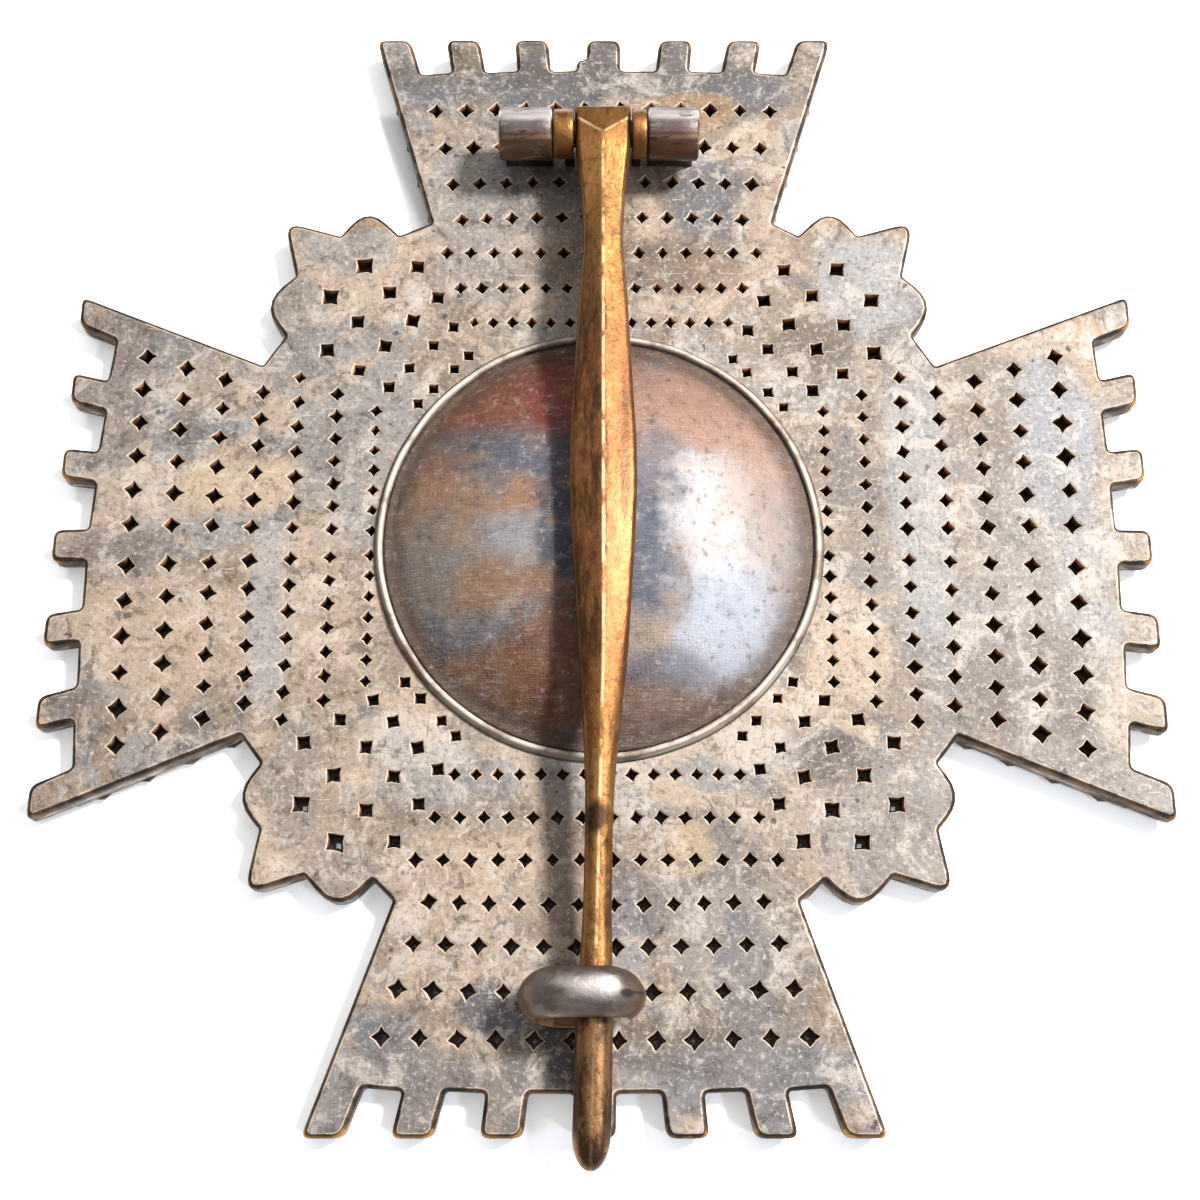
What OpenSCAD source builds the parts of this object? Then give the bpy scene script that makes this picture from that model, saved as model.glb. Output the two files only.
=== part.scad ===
// Breast star, lying on its face with the pinned back upwards.
// Origin: centre of the plain front disc, on the surface that the star lies on.
// +Z points out of the back, +Y to the arm that carries the hinge.

/* [Star plate] */
// Reach of the right arm from the centre
right_reach = 42.7; // [39:0.1:48]
// Reach of the left arm from the centre
left_reach = 42.2; // [39:0.1:48]
// Reach of the arm that carries the hinge
top_reach = 44.7; // [41:0.1:50]
// Reach of the arm that carries the catch
bottom_reach = 43.8; // [41:0.1:50]
// Width of the left and right arms across their teeth
side_end = 42.6; // [38:0.1:45]
// Width of the hinge arm across its teeth
top_end = 38.4; // [36:0.1:42]
// Width of the catch arm across its teeth
bottom_end = 41.2; // [38:0.1:44]
// Width of the left and right arms at their necks
side_neck = 30; // [29:0.1:31]
// Width of the hinge arm at its neck
top_neck = 28; // [26:0.1:29]
// Width of the catch arm at its neck
bottom_neck = 30.2; // [28:0.1:31]
// Distance of the left and right necks from the centre
side_neck_at = 26.8; // [26.2:0.1:27.6]
// Distance of the hinge and catch arms' necks from the centre
neck_at = 27.4; // [26.8:0.1:28]
// Depth of the gaps between the teeth of the left and right arms
side_tooth_depth = 2.6; // [1.5:0.1:3.5]
// Depth of the gaps between the teeth of the hinge and catch arms
tooth_depth = 2.9; // [1.5:0.1:3.5]
// Width of the teeth of the left and right arms
side_tooth_w = 2.7; // [2:0.1:3.2]
// Width of the teeth of the hinge and catch arms
tooth_w = 2.9; // [2:0.1:3.4]
// How far the tip of the hinge arm leans to the right
top_lean = 0.4; // [-0.6:0.05:0.6]
// How far the tip of the right arm leans to the catch
right_lean = 0.45; // [-0.6:0.05:0.6]
// How far the tip of the catch arm leans to the left
bottom_lean = 0.3; // [-0.6:0.05:0.6]
// How far the tip of the left arm leans to the hinge
left_lean = -0.3; // [-0.6:0.05:0.6]
// How far the outermost holes and tooth gaps stand back from their rows
row_bow = 0.35; // [0:0.05:0.6]
// Thickness of the star from its front to its back face
plate_t = 2.8; // [2.4:0.1:3.6]
// Height of the cast rays on the front
relief_h = 1.1; // [0.5:0.1:1.4]
// Width of the grooves between the rays
groove_w = 0.35; // [0.2:0.05:0.5]

/* [Piercing] */
// Length of the pierced diamonds in the arms, tip to tip
arm_hole = 1.5; // [1:0.05:1.7]
// Length of the pierced diamonds in the corners, tip to tip
corner_hole = 1.7; // [1:0.05:1.9]
// How far the sides of a diamond are drawn in, as a share of its half length
hole_waist = 0.12; // [0:0.02:0.25]
// Distance from the tooth gaps to the first row of holes in the left and right arms
side_first_row = 3.4; // [2.6:0.1:4.5]
// Distance from the tooth gaps to the first row of holes in the hinge and catch arms
first_row = 3.8; // [2.6:0.1:4.5]
// Distance between two rows of holes
row_step = 3.3; // [2.6:0.05:3.6]

/* [Back dome] */
// Radius of the rim ring outside
rim_r = 17.1; // [15.5:0.1:17.5]
// Width of the rim ring
rim_w = 0.6; // [0.5:0.05:1.2]
// Height of the rim ring above the plate
rim_h = 0.9; // [0.6:0.1:1.6]
// Height of the dome above the plate
dome_h = 4.6; // [3:0.1:5]
// Thickness of the dome's sheet
dome_wall = 0.8; // [0.5:0.1:1.2]

/* [Hinge] */
// Distance of the hinge axis from the tips of the teeth
hinge_inset = 11.6; // [8:0.1:13]
// Height of the hinge axis above the plate
axis_h = 4.2; // [3.6:0.1:5]
// Width of the whole hinge
hinge_w = 16; // [14:0.1:20]
// Outside diameter of the two tubes
tube_d = 4.2; // [3.6:0.05:4.6]
// Outside diameter of the two collars
collar_d = 3.95; // [3.4:0.05:4.4]
// Width of the left collar
left_collar_w = 1.65; // [1:0.05:2.2]
// Width of the right collar
right_collar_w = 1.2; // [0.8:0.05:2]
// Diameter of the rod through the hinge
rod_d = 2.2; // [1.6:0.1:2.6]
// Thickness of the web under each tube
web_t = 1.4; // [1.2:0.1:3]

/* [Pin] */
// How far the pin's tip stands out past the teeth of the catch arm
pin_overhang = 2.1; // [0.5:0.1:6]
// Width of the pin at its broadest place
pin_w = 5; // [4:0.1:5.6]
// Thickness of the pin's head
pin_t = 4.1; // [3.4:0.1:4.4]
// Width of the pin's head
head_w = 4.5; // [3.6:0.1:5.2]
// Offset of the pin's head from the middle of the star
head_x = 0.33; // [-0.5:0.01:0.5]
// How far the pin leans sideways at its tip
pin_drift = 0.9; // [0:0.05:1.2]
// Rise of the pin's bow over the dome
pin_bow = 2.3; // [1.8:0.1:3.2]

/* [Catch] */
// Distance of the middle of the catch from the tips of the teeth
catch_inset = 9.4; // [6:0.1:11]
// Width of the catch
catch_w = 9.1; // [8:0.1:10.5]
// Height of the catch above the plate
catch_h = 6.6; // [6:0.1:7.4]
// Length of the catch along the pin
catch_len = 3.5; // [2.4:0.1:4.5]
// Thickness of the catch's band
catch_t = 1.35; // [1:0.05:1.5]
// How far the outside of the band is domed, as a share of its thickness
catch_crown = 0.8; // [0.3:0.05:0.9]
// Offset of the catch from the middle of the star
catch_x = -1.2; // [-1.4:0.05:-0.8]
// Open angle of the catch's mouth, measured up from the plate
mouth_angle = 80; // [60:5:95]

/* [Hidden] */
$fn = 64;

silver = [0.72, 0.70, 0.67];
bright_silver = [0.80, 0.79, 0.77];
toned_copper = [0.52, 0.40, 0.36];
gilt = [0.72, 0.52, 0.24];

// Gap between a fitting and the piece it stands on
seat_gap = 0.05;
// Running clearance of the rod in what turns on it, on the radius
running_gap = 0.05;
// Gap beside each part of the hinge that turns
side_gap = 0.1;
// Depth by which joined shapes run into each other
overlap = 0.2;

// Gap between the rim ring and the foot of the dome
foot_gap = 0.05;

tooth_count = 7;
columns = 2 * tooth_count - 1;
// Extra width of the middle ray, as a share of a ray
middle_extra = 0.2;
half_columns = (columns + middle_extra) / 2;
// Rows of holes pierced in each arm
pierced_rows = 2;
// Bare edge beside the outermost rays
edge_margin = 0.65;
back_z = plate_t;
axis_z = back_z + axis_h;

// Distances of the hinge axis and of the catch from the centre
hinge_at = top_reach - hinge_inset;
catch_at = bottom_reach - catch_inset;
// Length of the pin from the hinge axis to its tip
pin_len = hinge_at + bottom_reach + pin_overhang;

// The four arms clockwise from the hinge arm: reach, end width, neck width, neck distance,
// depth of the tooth gaps, width of the teeth, lean of the tip, distance to the first row of holes
ARMS = [[top_reach, top_end, top_neck, neck_at, tooth_depth, tooth_w, top_lean, first_row],
        [right_reach, side_end, side_neck, side_neck_at, side_tooth_depth, side_tooth_w, right_lean,
         side_first_row],
        [bottom_reach, bottom_end, bottom_neck, neck_at, tooth_depth, tooth_w, bottom_lean, first_row],
        [left_reach, side_end, side_neck, side_neck_at, side_tooth_depth, side_tooth_w, left_lean,
         side_first_row]];

// Corners beside the hinge arm and beside the catch arm, as shares of neck_at: first notch,
// first lobe, second notch, tip, third notch, second lobe, fourth notch
TOP_CORNER = [[0.595, 0.960], [0.690, 1.025], [0.770, 0.958], [0.942, 1.007],
              [0.897, 0.825], [0.966, 0.733], [0.918, 0.631]];
BOTTOM_CORNER = [[0.602, 0.945], [0.692, 1.003], [0.785, 0.934], [0.945, 0.985],
                 [0.912, 0.810], [0.963, 0.721], [0.920, 0.631]];

// Half the width of an arm at a distance from the centre
function half_at(arm, r) = arm[2] / 2 + (arm[1] - arm[2]) / 2 * (r - arm[3]) / (arm[0] - arm[3]);
function lean_at(arm, r) = arm[6] * r / arm[0];
function pitch_at(arm, r) = (half_at(arm, r) - edge_margin) / half_columns;
// Distance of the tooth gaps from the centre, at a share of the arm's half width
function root_at(arm, share) = arm[0] - arm[4] - row_bow * share * share;
// Place between two rays, counted from the middle of the arm: -6 to -1 and 1 to 6
function between(n) = n - sign(n) * (1 - middle_extra) / 2;
// Turns a point of the hinge arm onto arm number k, clockwise
function turned(p, k) =
    k == 0 ? p : k == 1 ? [p.y, -p.x] : k == 2 ? [-p.x, -p.y] : [-p.y, p.x];

// Left (-1) or right (1) edge of a tooth, counted from the middle one, at a distance
function tooth_edge(arm, n, side, r) =
    let (half = half_at(arm, r), w = arm[5], outermost = abs(n) == (tooth_count - 1) / 2,
         middle = outermost ? sign(n) * (half - w / 2)
                            : half * (2 * n + sign(n) * middle_extra / 2) / half_columns)
    [middle + side * w / 2 + lean_at(arm, r), r];

function tooth_root(arm, n, side) =
    tooth_edge(arm, n, side, root_at(arm, (2 * n + side / 2) / half_columns));

function tooth_points(arm, n, toothed) =
    let (last = (tooth_count - 1) / 2)
    concat(n > -last || !toothed ? [tooth_root(arm, n, -1)] : [],
           toothed ? [tooth_edge(arm, n, -1, arm[0]), tooth_edge(arm, n, 1, arm[0])] : [],
           n < last || !toothed ? [tooth_root(arm, n, 1)] : []);

function arm_points(k, toothed) =
    let (arm = ARMS[k], last = (tooth_count - 1) / 2, lean = lean_at(arm, arm[3]))
    [for (p = concat([[lean - arm[2] / 2, arm[3]]],
                     [for (n = [-last:last]) each tooth_points(arm, n, toothed)],
                     [[lean + arm[2] / 2, arm[3]]])) turned(p, k)];

// Rounded bump from a to b whose top is at peak
function bump(a, peak, b, steps) =
    let (handle = 2 * peak - (a + b) / 2)
    [for (i = [0:steps])
        let (t = i / steps)
        (1 - t) * (1 - t) * a + 2 * t * (1 - t) * handle + t * t * b];

// Pointed lobe from a to b whose tip is rounded off over a share of its flanks
function pointed(a, tip, b, share, steps) =
    let (from = tip + share * (a - tip), to = tip + share * (b - tip))
    [for (i = [0:steps])
        let (t = i / steps)
        (1 - t) * (1 - t) * from + 2 * t * (1 - t) * tip + t * t * to];

// Corner k, clockwise from the one to the right of the hinge arm
function corner_points(k) =
    let (sx = k < 2 ? 1 : -1, sy = k == 0 || k == 3 ? 1 : -1,
         c = [for (p = sy > 0 ? TOP_CORNER : BOTTOM_CORNER) neck_at * [sx * p.x, sy * p.y]],
         p = concat(bump(c[0], c[1], c[2], 8), pointed(c[2], c[3], c[4], 0.3, 4),
                    bump(c[4], c[5], c[6], 8)),
         n = len(p))
    k == 0 || k == 2 ? p : [for (i = [0:n - 1]) p[n - 1 - i]];

function outline(toothed) = [for (k = [0:3]) each concat(arm_points(k, toothed), corner_points(k))];

module diamond(length) {
    half = length / 2;
    waist = half * (0.5 - hole_waist);
    polygon([[half, 0], [waist, waist], [0, half], [-waist, waist],
             [-half, 0], [-waist, -waist], [0, -half], [waist, -waist]]);
}

module arm_holes(k) {
    arm = ARMS[k];
    last = (columns - 1) / 2;
    for (i = [0:pierced_rows - 1])
        for (n = [-last:last])
            if (n != 0)
                let (share = between(n) / half_columns,
                     r = root_at(arm, share) - arm[7] - i * row_step)
                translate(turned([between(n) * pitch_at(arm, r) + lean_at(arm, r), r], k))
                    diamond(arm_hole);
}

// Rows of corner holes: distance along the diagonal and spacing, as shares of neck_at, and count
CORNER_ROWS = [[1.070, 0.135, 2], [0.956, 0.121, 4]];

// How much taller than wide the star is
stretch = (top_reach + bottom_reach) / (left_reach + right_reach);

// Place of a corner hole or groove in the corner to the right of the hinge arm
function in_corner(u, v) = neck_at * [u + v, stretch * (u - v)] / sqrt(2);

// Where the grooves of a corner start and end: distance along the diagonal and spacing
GROOVE_START = [0.62, 0.08];
GROOVE_END = [1.5, 0.18];

module corner_holes() {
    for (row = CORNER_ROWS)
        for (i = [0:row[2] - 1])
            translate(in_corner(row[0], row[1] * (i - (row[2] - 1) / 2)))
                rotate(45) diamond(corner_hole);
}

module piercing() {
    for (k = [0:3]) arm_holes(k);
    for (mx = [0, 1]) for (my = [0, 1]) mirror([mx, 0]) mirror([0, my]) corner_holes();
}

module groove(from, to) {
    d = to - from;
    across = [-d.y, d.x] / norm(d) * groove_w / 2;
    polygon([from - across, to - across, to + across, from + across]);
}

// Grooves between the rays, from the front disc past the edge
module grooves() {
    inner = rim_r - overlap;
    last = (columns - 1) / 2;
    for (k = [0:3]) {
        arm = ARMS[k];
        for (n = [-last:last])
            if (n != 0)
                groove(turned([between(n) * pitch_at(arm, inner), inner], k),
                       turned([between(n) * pitch_at(arm, arm[0]) + arm[6], arm[0]], k));
    }
    for (mx = [0, 1]) for (my = [0, 1]) mirror([mx, 0]) mirror([0, my])
        for (side = [-1.5, -0.5, 0.5, 1.5])
            groove(in_corner(GROOVE_START.x, GROOVE_START.y * side),
                   in_corner(GROOVE_END.x, GROOVE_END.y * side));
}

module star_plate() {
    color(silver) {
        translate([0, 0, relief_h])
            linear_extrude(plate_t - relief_h)
                difference() {
                    polygon(outline(true));
                    piercing();
                }
        linear_extrude(relief_h)
            difference() {
                polygon(outline(false));
                piercing();
                difference() {
                    grooves();
                    circle(rim_r);
                }
            }
    }
}

module rim_ring() {
    mid = rim_r - rim_w / 2;
    color(bright_silver)
        translate([0, 0, back_z + seat_gap])
            rotate_extrude()
                union() {
                    translate([rim_r - rim_w, 0]) square([rim_w, rim_h - rim_w / 2]);
                    translate([mid, rim_h - rim_w / 2]) circle(d = rim_w);
                }
}

dome_r = rim_r - rim_w - foot_gap;

function cap_radius(base, rise) = (base * base + rise * rise) / (2 * rise);

module cap(base, rise) {
    r = cap_radius(base, rise);
    intersection() {
        translate([0, 0, rise - r]) sphere(r);
        cylinder(r = base + 1, h = rise + 1);
    }
}

module back_dome() {
    color(toned_copper)
        translate([0, 0, back_z + seat_gap])
            difference() {
                cap(dome_r, dome_h - seat_gap);
                translate([0, 0, -overlap]) cap(dome_r - dome_wall, dome_h - seat_gap - dome_wall + overlap);
            }
}

// Cylinder along X from x0 to x1 on the hinge axis
module on_axis(x0, x1, d) {
    translate([x0, hinge_at, axis_z]) rotate([0, 90, 0]) cylinder(d = d, h = x1 - x0);
}

rod_bore = rod_d + 2 * running_gap;
head_left = head_x - head_w / 2;
head_right = head_x + head_w / 2;
left_collar_at = head_left - side_gap - left_collar_w;
right_collar_at = head_right + side_gap;

module hinge_tube(x0, x1) {
    color(silver)
        difference() {
            union() {
                on_axis(x0, x1, tube_d);
                translate([x0, hinge_at - web_t / 2, back_z + seat_gap])
                    cube([x1 - x0, web_t, axis_h - seat_gap]);
            }
            on_axis(x0 - 1, x1 + 1, rod_bore);
        }
}

module hinge_tube_left() hinge_tube(-hinge_w / 2, left_collar_at - seat_gap);

module hinge_tube_right() hinge_tube(right_collar_at + right_collar_w + seat_gap, hinge_w / 2);

// Width and thickness of the leg under each collar
leg_w = 0.75;
leg_t = 1.4;

module hinge_collar(x0, w, leg_x) {
    color(gilt)
        difference() {
            union() {
                on_axis(x0, x0 + w, collar_d);
                translate([leg_x, hinge_at - leg_t / 2, back_z + seat_gap])
                    cube([leg_w, leg_t, axis_h - seat_gap]);
            }
            on_axis(x0 - 1, x0 + w + 1, rod_bore);
        }
}

module hinge_collar_left() hinge_collar(left_collar_at, left_collar_w, left_collar_at + left_collar_w - leg_w);

module hinge_collar_right() hinge_collar(right_collar_at, right_collar_w, right_collar_at);

// How far the rod's ends stand back in the tubes
rod_recess = 0.2;

module hinge_rod() {
    color(silver) on_axis(rod_recess - hinge_w / 2, hinge_w / 2 - rod_recess, rod_d);
}

// Sections of the pin from behind the axis to the tip: distance from the axis as a share of
// pin_len, width as a share of pin_w, thickness as a share of pin_t, rise as a share of pin_bow,
// and how sharp the ridge is
PIN = [[-0.024, 0.90, 0.62, -0.12, 0.0],
       [-0.012, 0.90, 0.86, -0.06, 0.3],
       [0.006, 0.90, 1.00, 0.00, 1.0],
       [0.036, 0.84, 0.92, 0.06, 1.0],
       [0.078, 0.70, 0.76, 0.20, 1.0],
       [0.134, 0.63, 0.66, 0.40, 1.0],
       [0.189, 0.76, 0.58, 0.60, 0.9],
       [0.245, 0.84, 0.50, 0.77, 0.7],
       [0.300, 0.93, 0.44, 0.90, 0.5],
       [0.353, 1.00, 0.42, 0.98, 0.4],
       [0.402, 0.99, 0.42, 1.00, 0.4],
       [0.452, 0.91, 0.42, 0.98, 0.4],
       [0.500, 0.82, 0.43, 0.90, 0.4],
       [0.548, 0.72, 0.45, 0.77, 0.5],
       [0.595, 0.60, 0.47, 0.60, 0.5],
       [0.638, 0.49, 0.48, 0.42, 0.4],
       [0.684, 0.41, 0.47, 0.24, 0.2],
       [0.772, 0.41, 0.47, -0.08, 0.1],
       [0.825, 0.47, 0.50, -0.25, 0.1],
       [0.884, 0.52, 0.56, -0.36, 0.1],
       [0.942, 0.53, 0.56, -0.44, 0.1],
       [0.970, 0.46, 0.50, -0.48, 0.1],
       [0.988, 0.32, 0.36, -0.50, 0.1],
       [1.000, 0.08, 0.10, -0.50, 0.0]];
pin_sides = 12;

// One section of the pin, a ring of points that runs from its ridge to the right and round
function pin_ring(s) =
    let (drift = -pin_drift * max(0, s[0] - 0.55) / 0.45,
         y = hinge_at - s[0] * pin_len, z = axis_z + s[3] * pin_bow)
    [for (i = [0:pin_sides - 1])
        let (a = 90 - 360 * i / pin_sides, x = cos(a), round_z = sin(a),
             roof_z = 1 - 0.7 * abs(x), up = round_z > 0)
        [head_x + drift + x * s[1] * pin_w / 2, y,
         z + (up ? round_z * (1 - s[4]) + roof_z * s[4] : round_z) * s[2] * pin_t / 2]];

module pin_shank() {
    n = len(PIN);
    points = [for (s = PIN) each pin_ring(s)];
    sides = [for (j = [0:n - 2], i = [0:pin_sides - 1])
                let (k = (i + 1) % pin_sides)
                each [[j * pin_sides + i, (j + 1) * pin_sides + k, (j + 1) * pin_sides + i],
                      [j * pin_sides + i, j * pin_sides + k, (j + 1) * pin_sides + k]]];
    ends = [[for (i = [0:pin_sides - 1]) pin_sides - 1 - i],
            [for (i = [0:pin_sides - 1]) (n - 1) * pin_sides + i]];
    polyhedron(points, concat(sides, ends));
}

module pin() {
    color(gilt)
        difference() {
            union() {
                pin_shank();
                on_axis(head_left, head_right, pin_t);
            }
            on_axis(head_left - 1, head_right + 1, rod_bore);
        }
}

// Cross section of the catch's band, flat inside and rounded outside, outer edge at x = 0
module band_section() {
    bulge = cap_radius(catch_len / 2, catch_t * catch_crown);
    intersection() {
        translate([-catch_t, -catch_len / 2]) square([catch_t, catch_len]);
        translate([-bulge, 0]) circle(bulge, $fn = 96);
    }
}

module band_turn(angle) {
    rotate_extrude(angle = angle) translate([catch_h / 2 - seat_gap / 2, 0]) band_section();
}

module band_run(length) {
    rotate([90, 0, 90]) linear_extrude(length) rotate(90) band_section();
}

// Open ring that stands on the plate: a left turn, a top run, a right turn that stops above
// the mouth, and a bottom run under the pin
module catch() {
    turn_r = catch_h / 2 - seat_gap / 2;
    run = catch_w - 2 * turn_r;
    color(silver)
        translate([catch_x, -catch_at, back_z + seat_gap + turn_r])
            rotate([90, 0, 0]) {
                translate([-run / 2, 0, 0]) rotate(90) band_turn(180);
                translate([run / 2, 0, 0]) rotate(mouth_angle - 90) band_turn(180 - mouth_angle);
                translate([-run / 2, turn_r, 0]) rotate([-90, 0, 0]) band_run(run);
                translate([-run / 2, -turn_r, 0]) rotate([90, 0, 0]) band_run(run);
            }
}

star_plate();
rim_ring();
back_dome();
hinge_tube_left();
hinge_tube_right();
hinge_collar_left();
hinge_collar_right();
hinge_rod();
pin();
catch();
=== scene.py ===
import math
import bpy
import bmesh
from bmesh.types import BMEdge, BMFace, BMVert
from mathutils import Matrix, Vector, noise


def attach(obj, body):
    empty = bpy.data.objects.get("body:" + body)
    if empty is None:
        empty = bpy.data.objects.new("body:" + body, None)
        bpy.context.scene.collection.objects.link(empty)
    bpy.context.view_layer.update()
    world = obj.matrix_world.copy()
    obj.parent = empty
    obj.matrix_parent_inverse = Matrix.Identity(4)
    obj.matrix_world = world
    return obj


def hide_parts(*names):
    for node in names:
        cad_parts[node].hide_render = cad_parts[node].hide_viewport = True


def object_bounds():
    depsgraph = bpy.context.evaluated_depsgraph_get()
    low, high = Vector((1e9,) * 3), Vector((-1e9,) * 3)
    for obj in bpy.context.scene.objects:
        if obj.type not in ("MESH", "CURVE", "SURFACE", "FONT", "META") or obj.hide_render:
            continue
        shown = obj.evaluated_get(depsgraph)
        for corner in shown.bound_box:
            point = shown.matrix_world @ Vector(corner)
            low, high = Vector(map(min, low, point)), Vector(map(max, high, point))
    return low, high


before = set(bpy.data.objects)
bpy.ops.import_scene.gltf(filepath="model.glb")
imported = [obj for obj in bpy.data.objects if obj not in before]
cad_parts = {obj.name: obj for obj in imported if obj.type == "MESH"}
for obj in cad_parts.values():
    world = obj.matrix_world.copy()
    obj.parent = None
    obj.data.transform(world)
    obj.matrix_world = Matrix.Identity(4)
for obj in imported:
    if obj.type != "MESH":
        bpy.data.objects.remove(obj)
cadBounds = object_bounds()
mm = 0.001
quarter = math.pi / 2


# Mesh helpers

def addObject(name, data):
    item = bpy.data.objects.new(name, data)
    bpy.context.scene.collection.objects.link(item)
    return item


def meshObject(name, bm):
    mesh = bpy.data.meshes.new(name)
    bm.to_mesh(mesh)
    bm.free()
    return addObject(name, mesh)


def finishedPiece(name, bm, body, node, surface, smooth=True):
    piece = meshObject(name, bm)
    piece.data.materials.append(surface)
    for face in piece.data.polygons:
        face.use_smooth = smooth
    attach(piece, body)
    if node:
        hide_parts(node)
    print("made", name, len(piece.data.polygons), "faces")
    return piece


def addModifier(piece, kind, **settings):
    modifier = piece.modifiers.new(kind.title(), kind)
    for key, value in settings.items():
        setattr(modifier, key, value)
    return modifier


def closedLoop(bm, points):
    # a loop of edges through points in mm
    verts = [bm.verts.new((x * mm, y * mm, z * mm)) for x, y, z in points]
    return verts, [bm.edges.new((verts[i - 1], verts[i])) for i in range(len(verts))]


def merged(bm, apart=1e-6):
    bmesh.ops.remove_doubles(bm, verts=bm.verts, dist=apart)
    bmesh.ops.recalc_face_normals(bm, faces=bm.faces)


def placed(bm, centre, axis):
    # turns a shape made along Z onto its axis, and moves it to its place in mm
    if axis == "X":
        bmesh.ops.rotate(bm, verts=bm.verts, cent=(0, 0, 0), matrix=Matrix.Rotation(quarter, 3, "Y"))
    bmesh.ops.translate(bm, verts=bm.verts, vec=Vector(centre) * mm)


def only(kind, geom):
    return [g for g in geom if isinstance(g, kind)]


def extruded(bm, edges):
    # pulls a new ring out of a ring of edges, for the caller to move, and gives its verts and edges
    made = bmesh.ops.extrude_edge_only(bm, edges=edges)["geom"]
    fresh = only(BMVert, made)
    inRing = set(fresh)
    return fresh, [edge for edge in only(BMEdge, made) if inRing.issuperset(edge.verts)]


def turned(x, r, k):
    # a point of the hinge arm, carried clockwise onto arm k
    return [Vector((x, r)), Vector((r, -x)), Vector((-x, -r)), Vector((-r, x))][k]


def softened(points, steps, longSide=6, hold=1.2):
    # rounds each corner (place, cut, wear) of a flat outline and gives its (place, wear) points;
    # on a long side a further point holds the wear near the corner
    out = []
    count = len(points)
    for i, (tip, cut, wear) in enumerate(points):
        back = points[i - 1][0] - tip
        ahead = points[(i + 1) % count][0] - tip
        start = tip + back.normalized() * min(cut, 0.8 * back.length)
        end = tip + ahead.normalized() * min(cut, 0.8 * ahead.length)
        if back.length > longSide:
            out.append((start + back.normalized() * hold, 0))
        for k in range(steps + 1):
            t = k / steps
            out.append((start * (1 - t) ** 2 + tip * 2 * t * (1 - t) + end * t * t,
                        wear * (0.5 + 2 * t * (1 - t))))
        if ahead.length > longSide:
            out.append((end + ahead.normalized() * hold, 0))
    return out


def inwardAt(points):
    # unit steps into the metal from each point of a clockwise outline
    steps = []
    count = len(points)
    for i, p in enumerate(points):
        a = (p - points[i - 1]).normalized()
        b = (points[(i + 1) % count] - p).normalized()
        side = Vector((a.y + b.y, -a.x - b.x)).normalized()
        steps.append(side / max(0.75, side.dot(Vector((a.y, -a.x)))))
    return steps


# The pierced plate

plate = {
    "backZ": 2.8, "sheetZ": 1.12, "raysZ": 0.62, "frontZ": 0.02,
    "edgeRound": 0.42, "holeRound": 0.16, "frontOpening": 0.36,
    "toothCut": 0.75, "rootCut": 0.35, "notchCut": 0.18, "tipCut": 1.75, "lobeCut": 0.68,
    "toothCount": 7, "middleExtra": 0.2, "edgeMargin": 0.65, "rowBow": 0.4,
    "stretch": 1.047, "beadFill": 0.93, "beadTop": 0.34, "wobble": 0.05,
    "outerRows": 4, "outerPerSide": 6, "innerPerSide": 7,
    "cornerPitch": 2.2, "pitchGrowth": 0.13, "pitchFrom": 17.9, "askew": 0.4,
    # a hole's length is the first number, and the second times its row's pitch
    "armHole": (0.33, 0.41), "cornerHole": (0.3, 0.38), "holeWaist": 0.62,
    "holeTurn": 0.28, "holeGrowth": 0.16, "holeTwist": 0.12, "holeRagged": 0.2,
    "beadRound": 8, "beadsFrom": 18.2, "beadLong": 1.7, "cornerBead": (1.45, 3.4),
    "cornerBeadRows": (27.8, 24.7, 21.8, 19.2),
}
seatZ = plate["backZ"] + 0.05  # the pieces on the back stand a hair above it
arms = [
    {"reach": 44.7, "end": 38.4, "neck": 28.0, "neckAt": 27.4, "depth": 2.95, "tooth": 2.85,
     "lean": 0.4, "slant": 0.0,
     "rows": [(38.0, 2.486), (34.5, 2.332), (31.15, 2.2), (27.9, 2.045), (24.65, 1.905),
              (21.5, 1.725), (18.45, 1.545)]},
    {"reach": 42.7, "end": 42.6, "neck": 30.0, "neckAt": 26.8, "depth": 2.65, "tooth": 2.85,
     "lean": 0.45, "slant": 0.1,
     "rows": [(36.65, 2.83), (33.3, 2.63), (30.1, 2.443), (27.0, 2.266), (23.85, 2.109),
              (20.8, 1.878), (17.7, 1.66)]},
    {"reach": 43.8, "end": 41.2, "neck": 29.6, "neckAt": 27.4, "depth": 3.0, "tooth": 3.0,
     "lean": 0.3, "slant": 0.0,
     "rows": [(37.2, 2.715), (33.88, 2.535), (30.7, 2.357), (27.7, 2.169), (24.45, 2.005),
              (21.35, 1.807), (18.15, 1.604)]},
    {"reach": 42.2, "end": 42.6, "neck": 30.0, "neckAt": 26.8, "depth": 2.65, "tooth": 2.65,
     "lean": -0.3, "slant": 0.45,
     "rows": [(36.3, 2.807), (33.1, 2.626), (29.95, 2.446), (26.9, 2.25), (23.75, 2.098),
              (20.7, 1.877), (17.6, 1.658)]},
]
# notch, lobe, notch, tip, notch, lobe, notch of the upper and the lower corners
upperCorner = [(16.3, 26.3), (18.9, 28.1), (21.1, 26.25), (25.8, 27.6), (24.6, 22.6),
               (26.5, 20.1), (25.15, 17.3)]
lowerCorner = [(16.5, 25.9), (19.0, 27.5), (21.5, 25.6), (25.9, 27.0), (25.0, 22.2),
               (26.4, 19.8), (25.2, 17.3)]
cornerRows = [(29.3, (-2.0, 1.75)), (26.2, (-5.0, -1.9, 1.6, 4.9)),
              (23.15, (-4.35, -1.6, 1.4, 4.25)), (20.45, (-3.55, -1.35, 1.3, 3.5)),
              (17.85, (-2.75, -1.2, 1.1, 2.8))]
lastTooth = plate["toothCount"] // 2
# rays to one side of an arm's middle, counting half of the broader middle ray
perHalf = plate["toothCount"] - 0.5 + plate["middleExtra"] / 2


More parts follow.
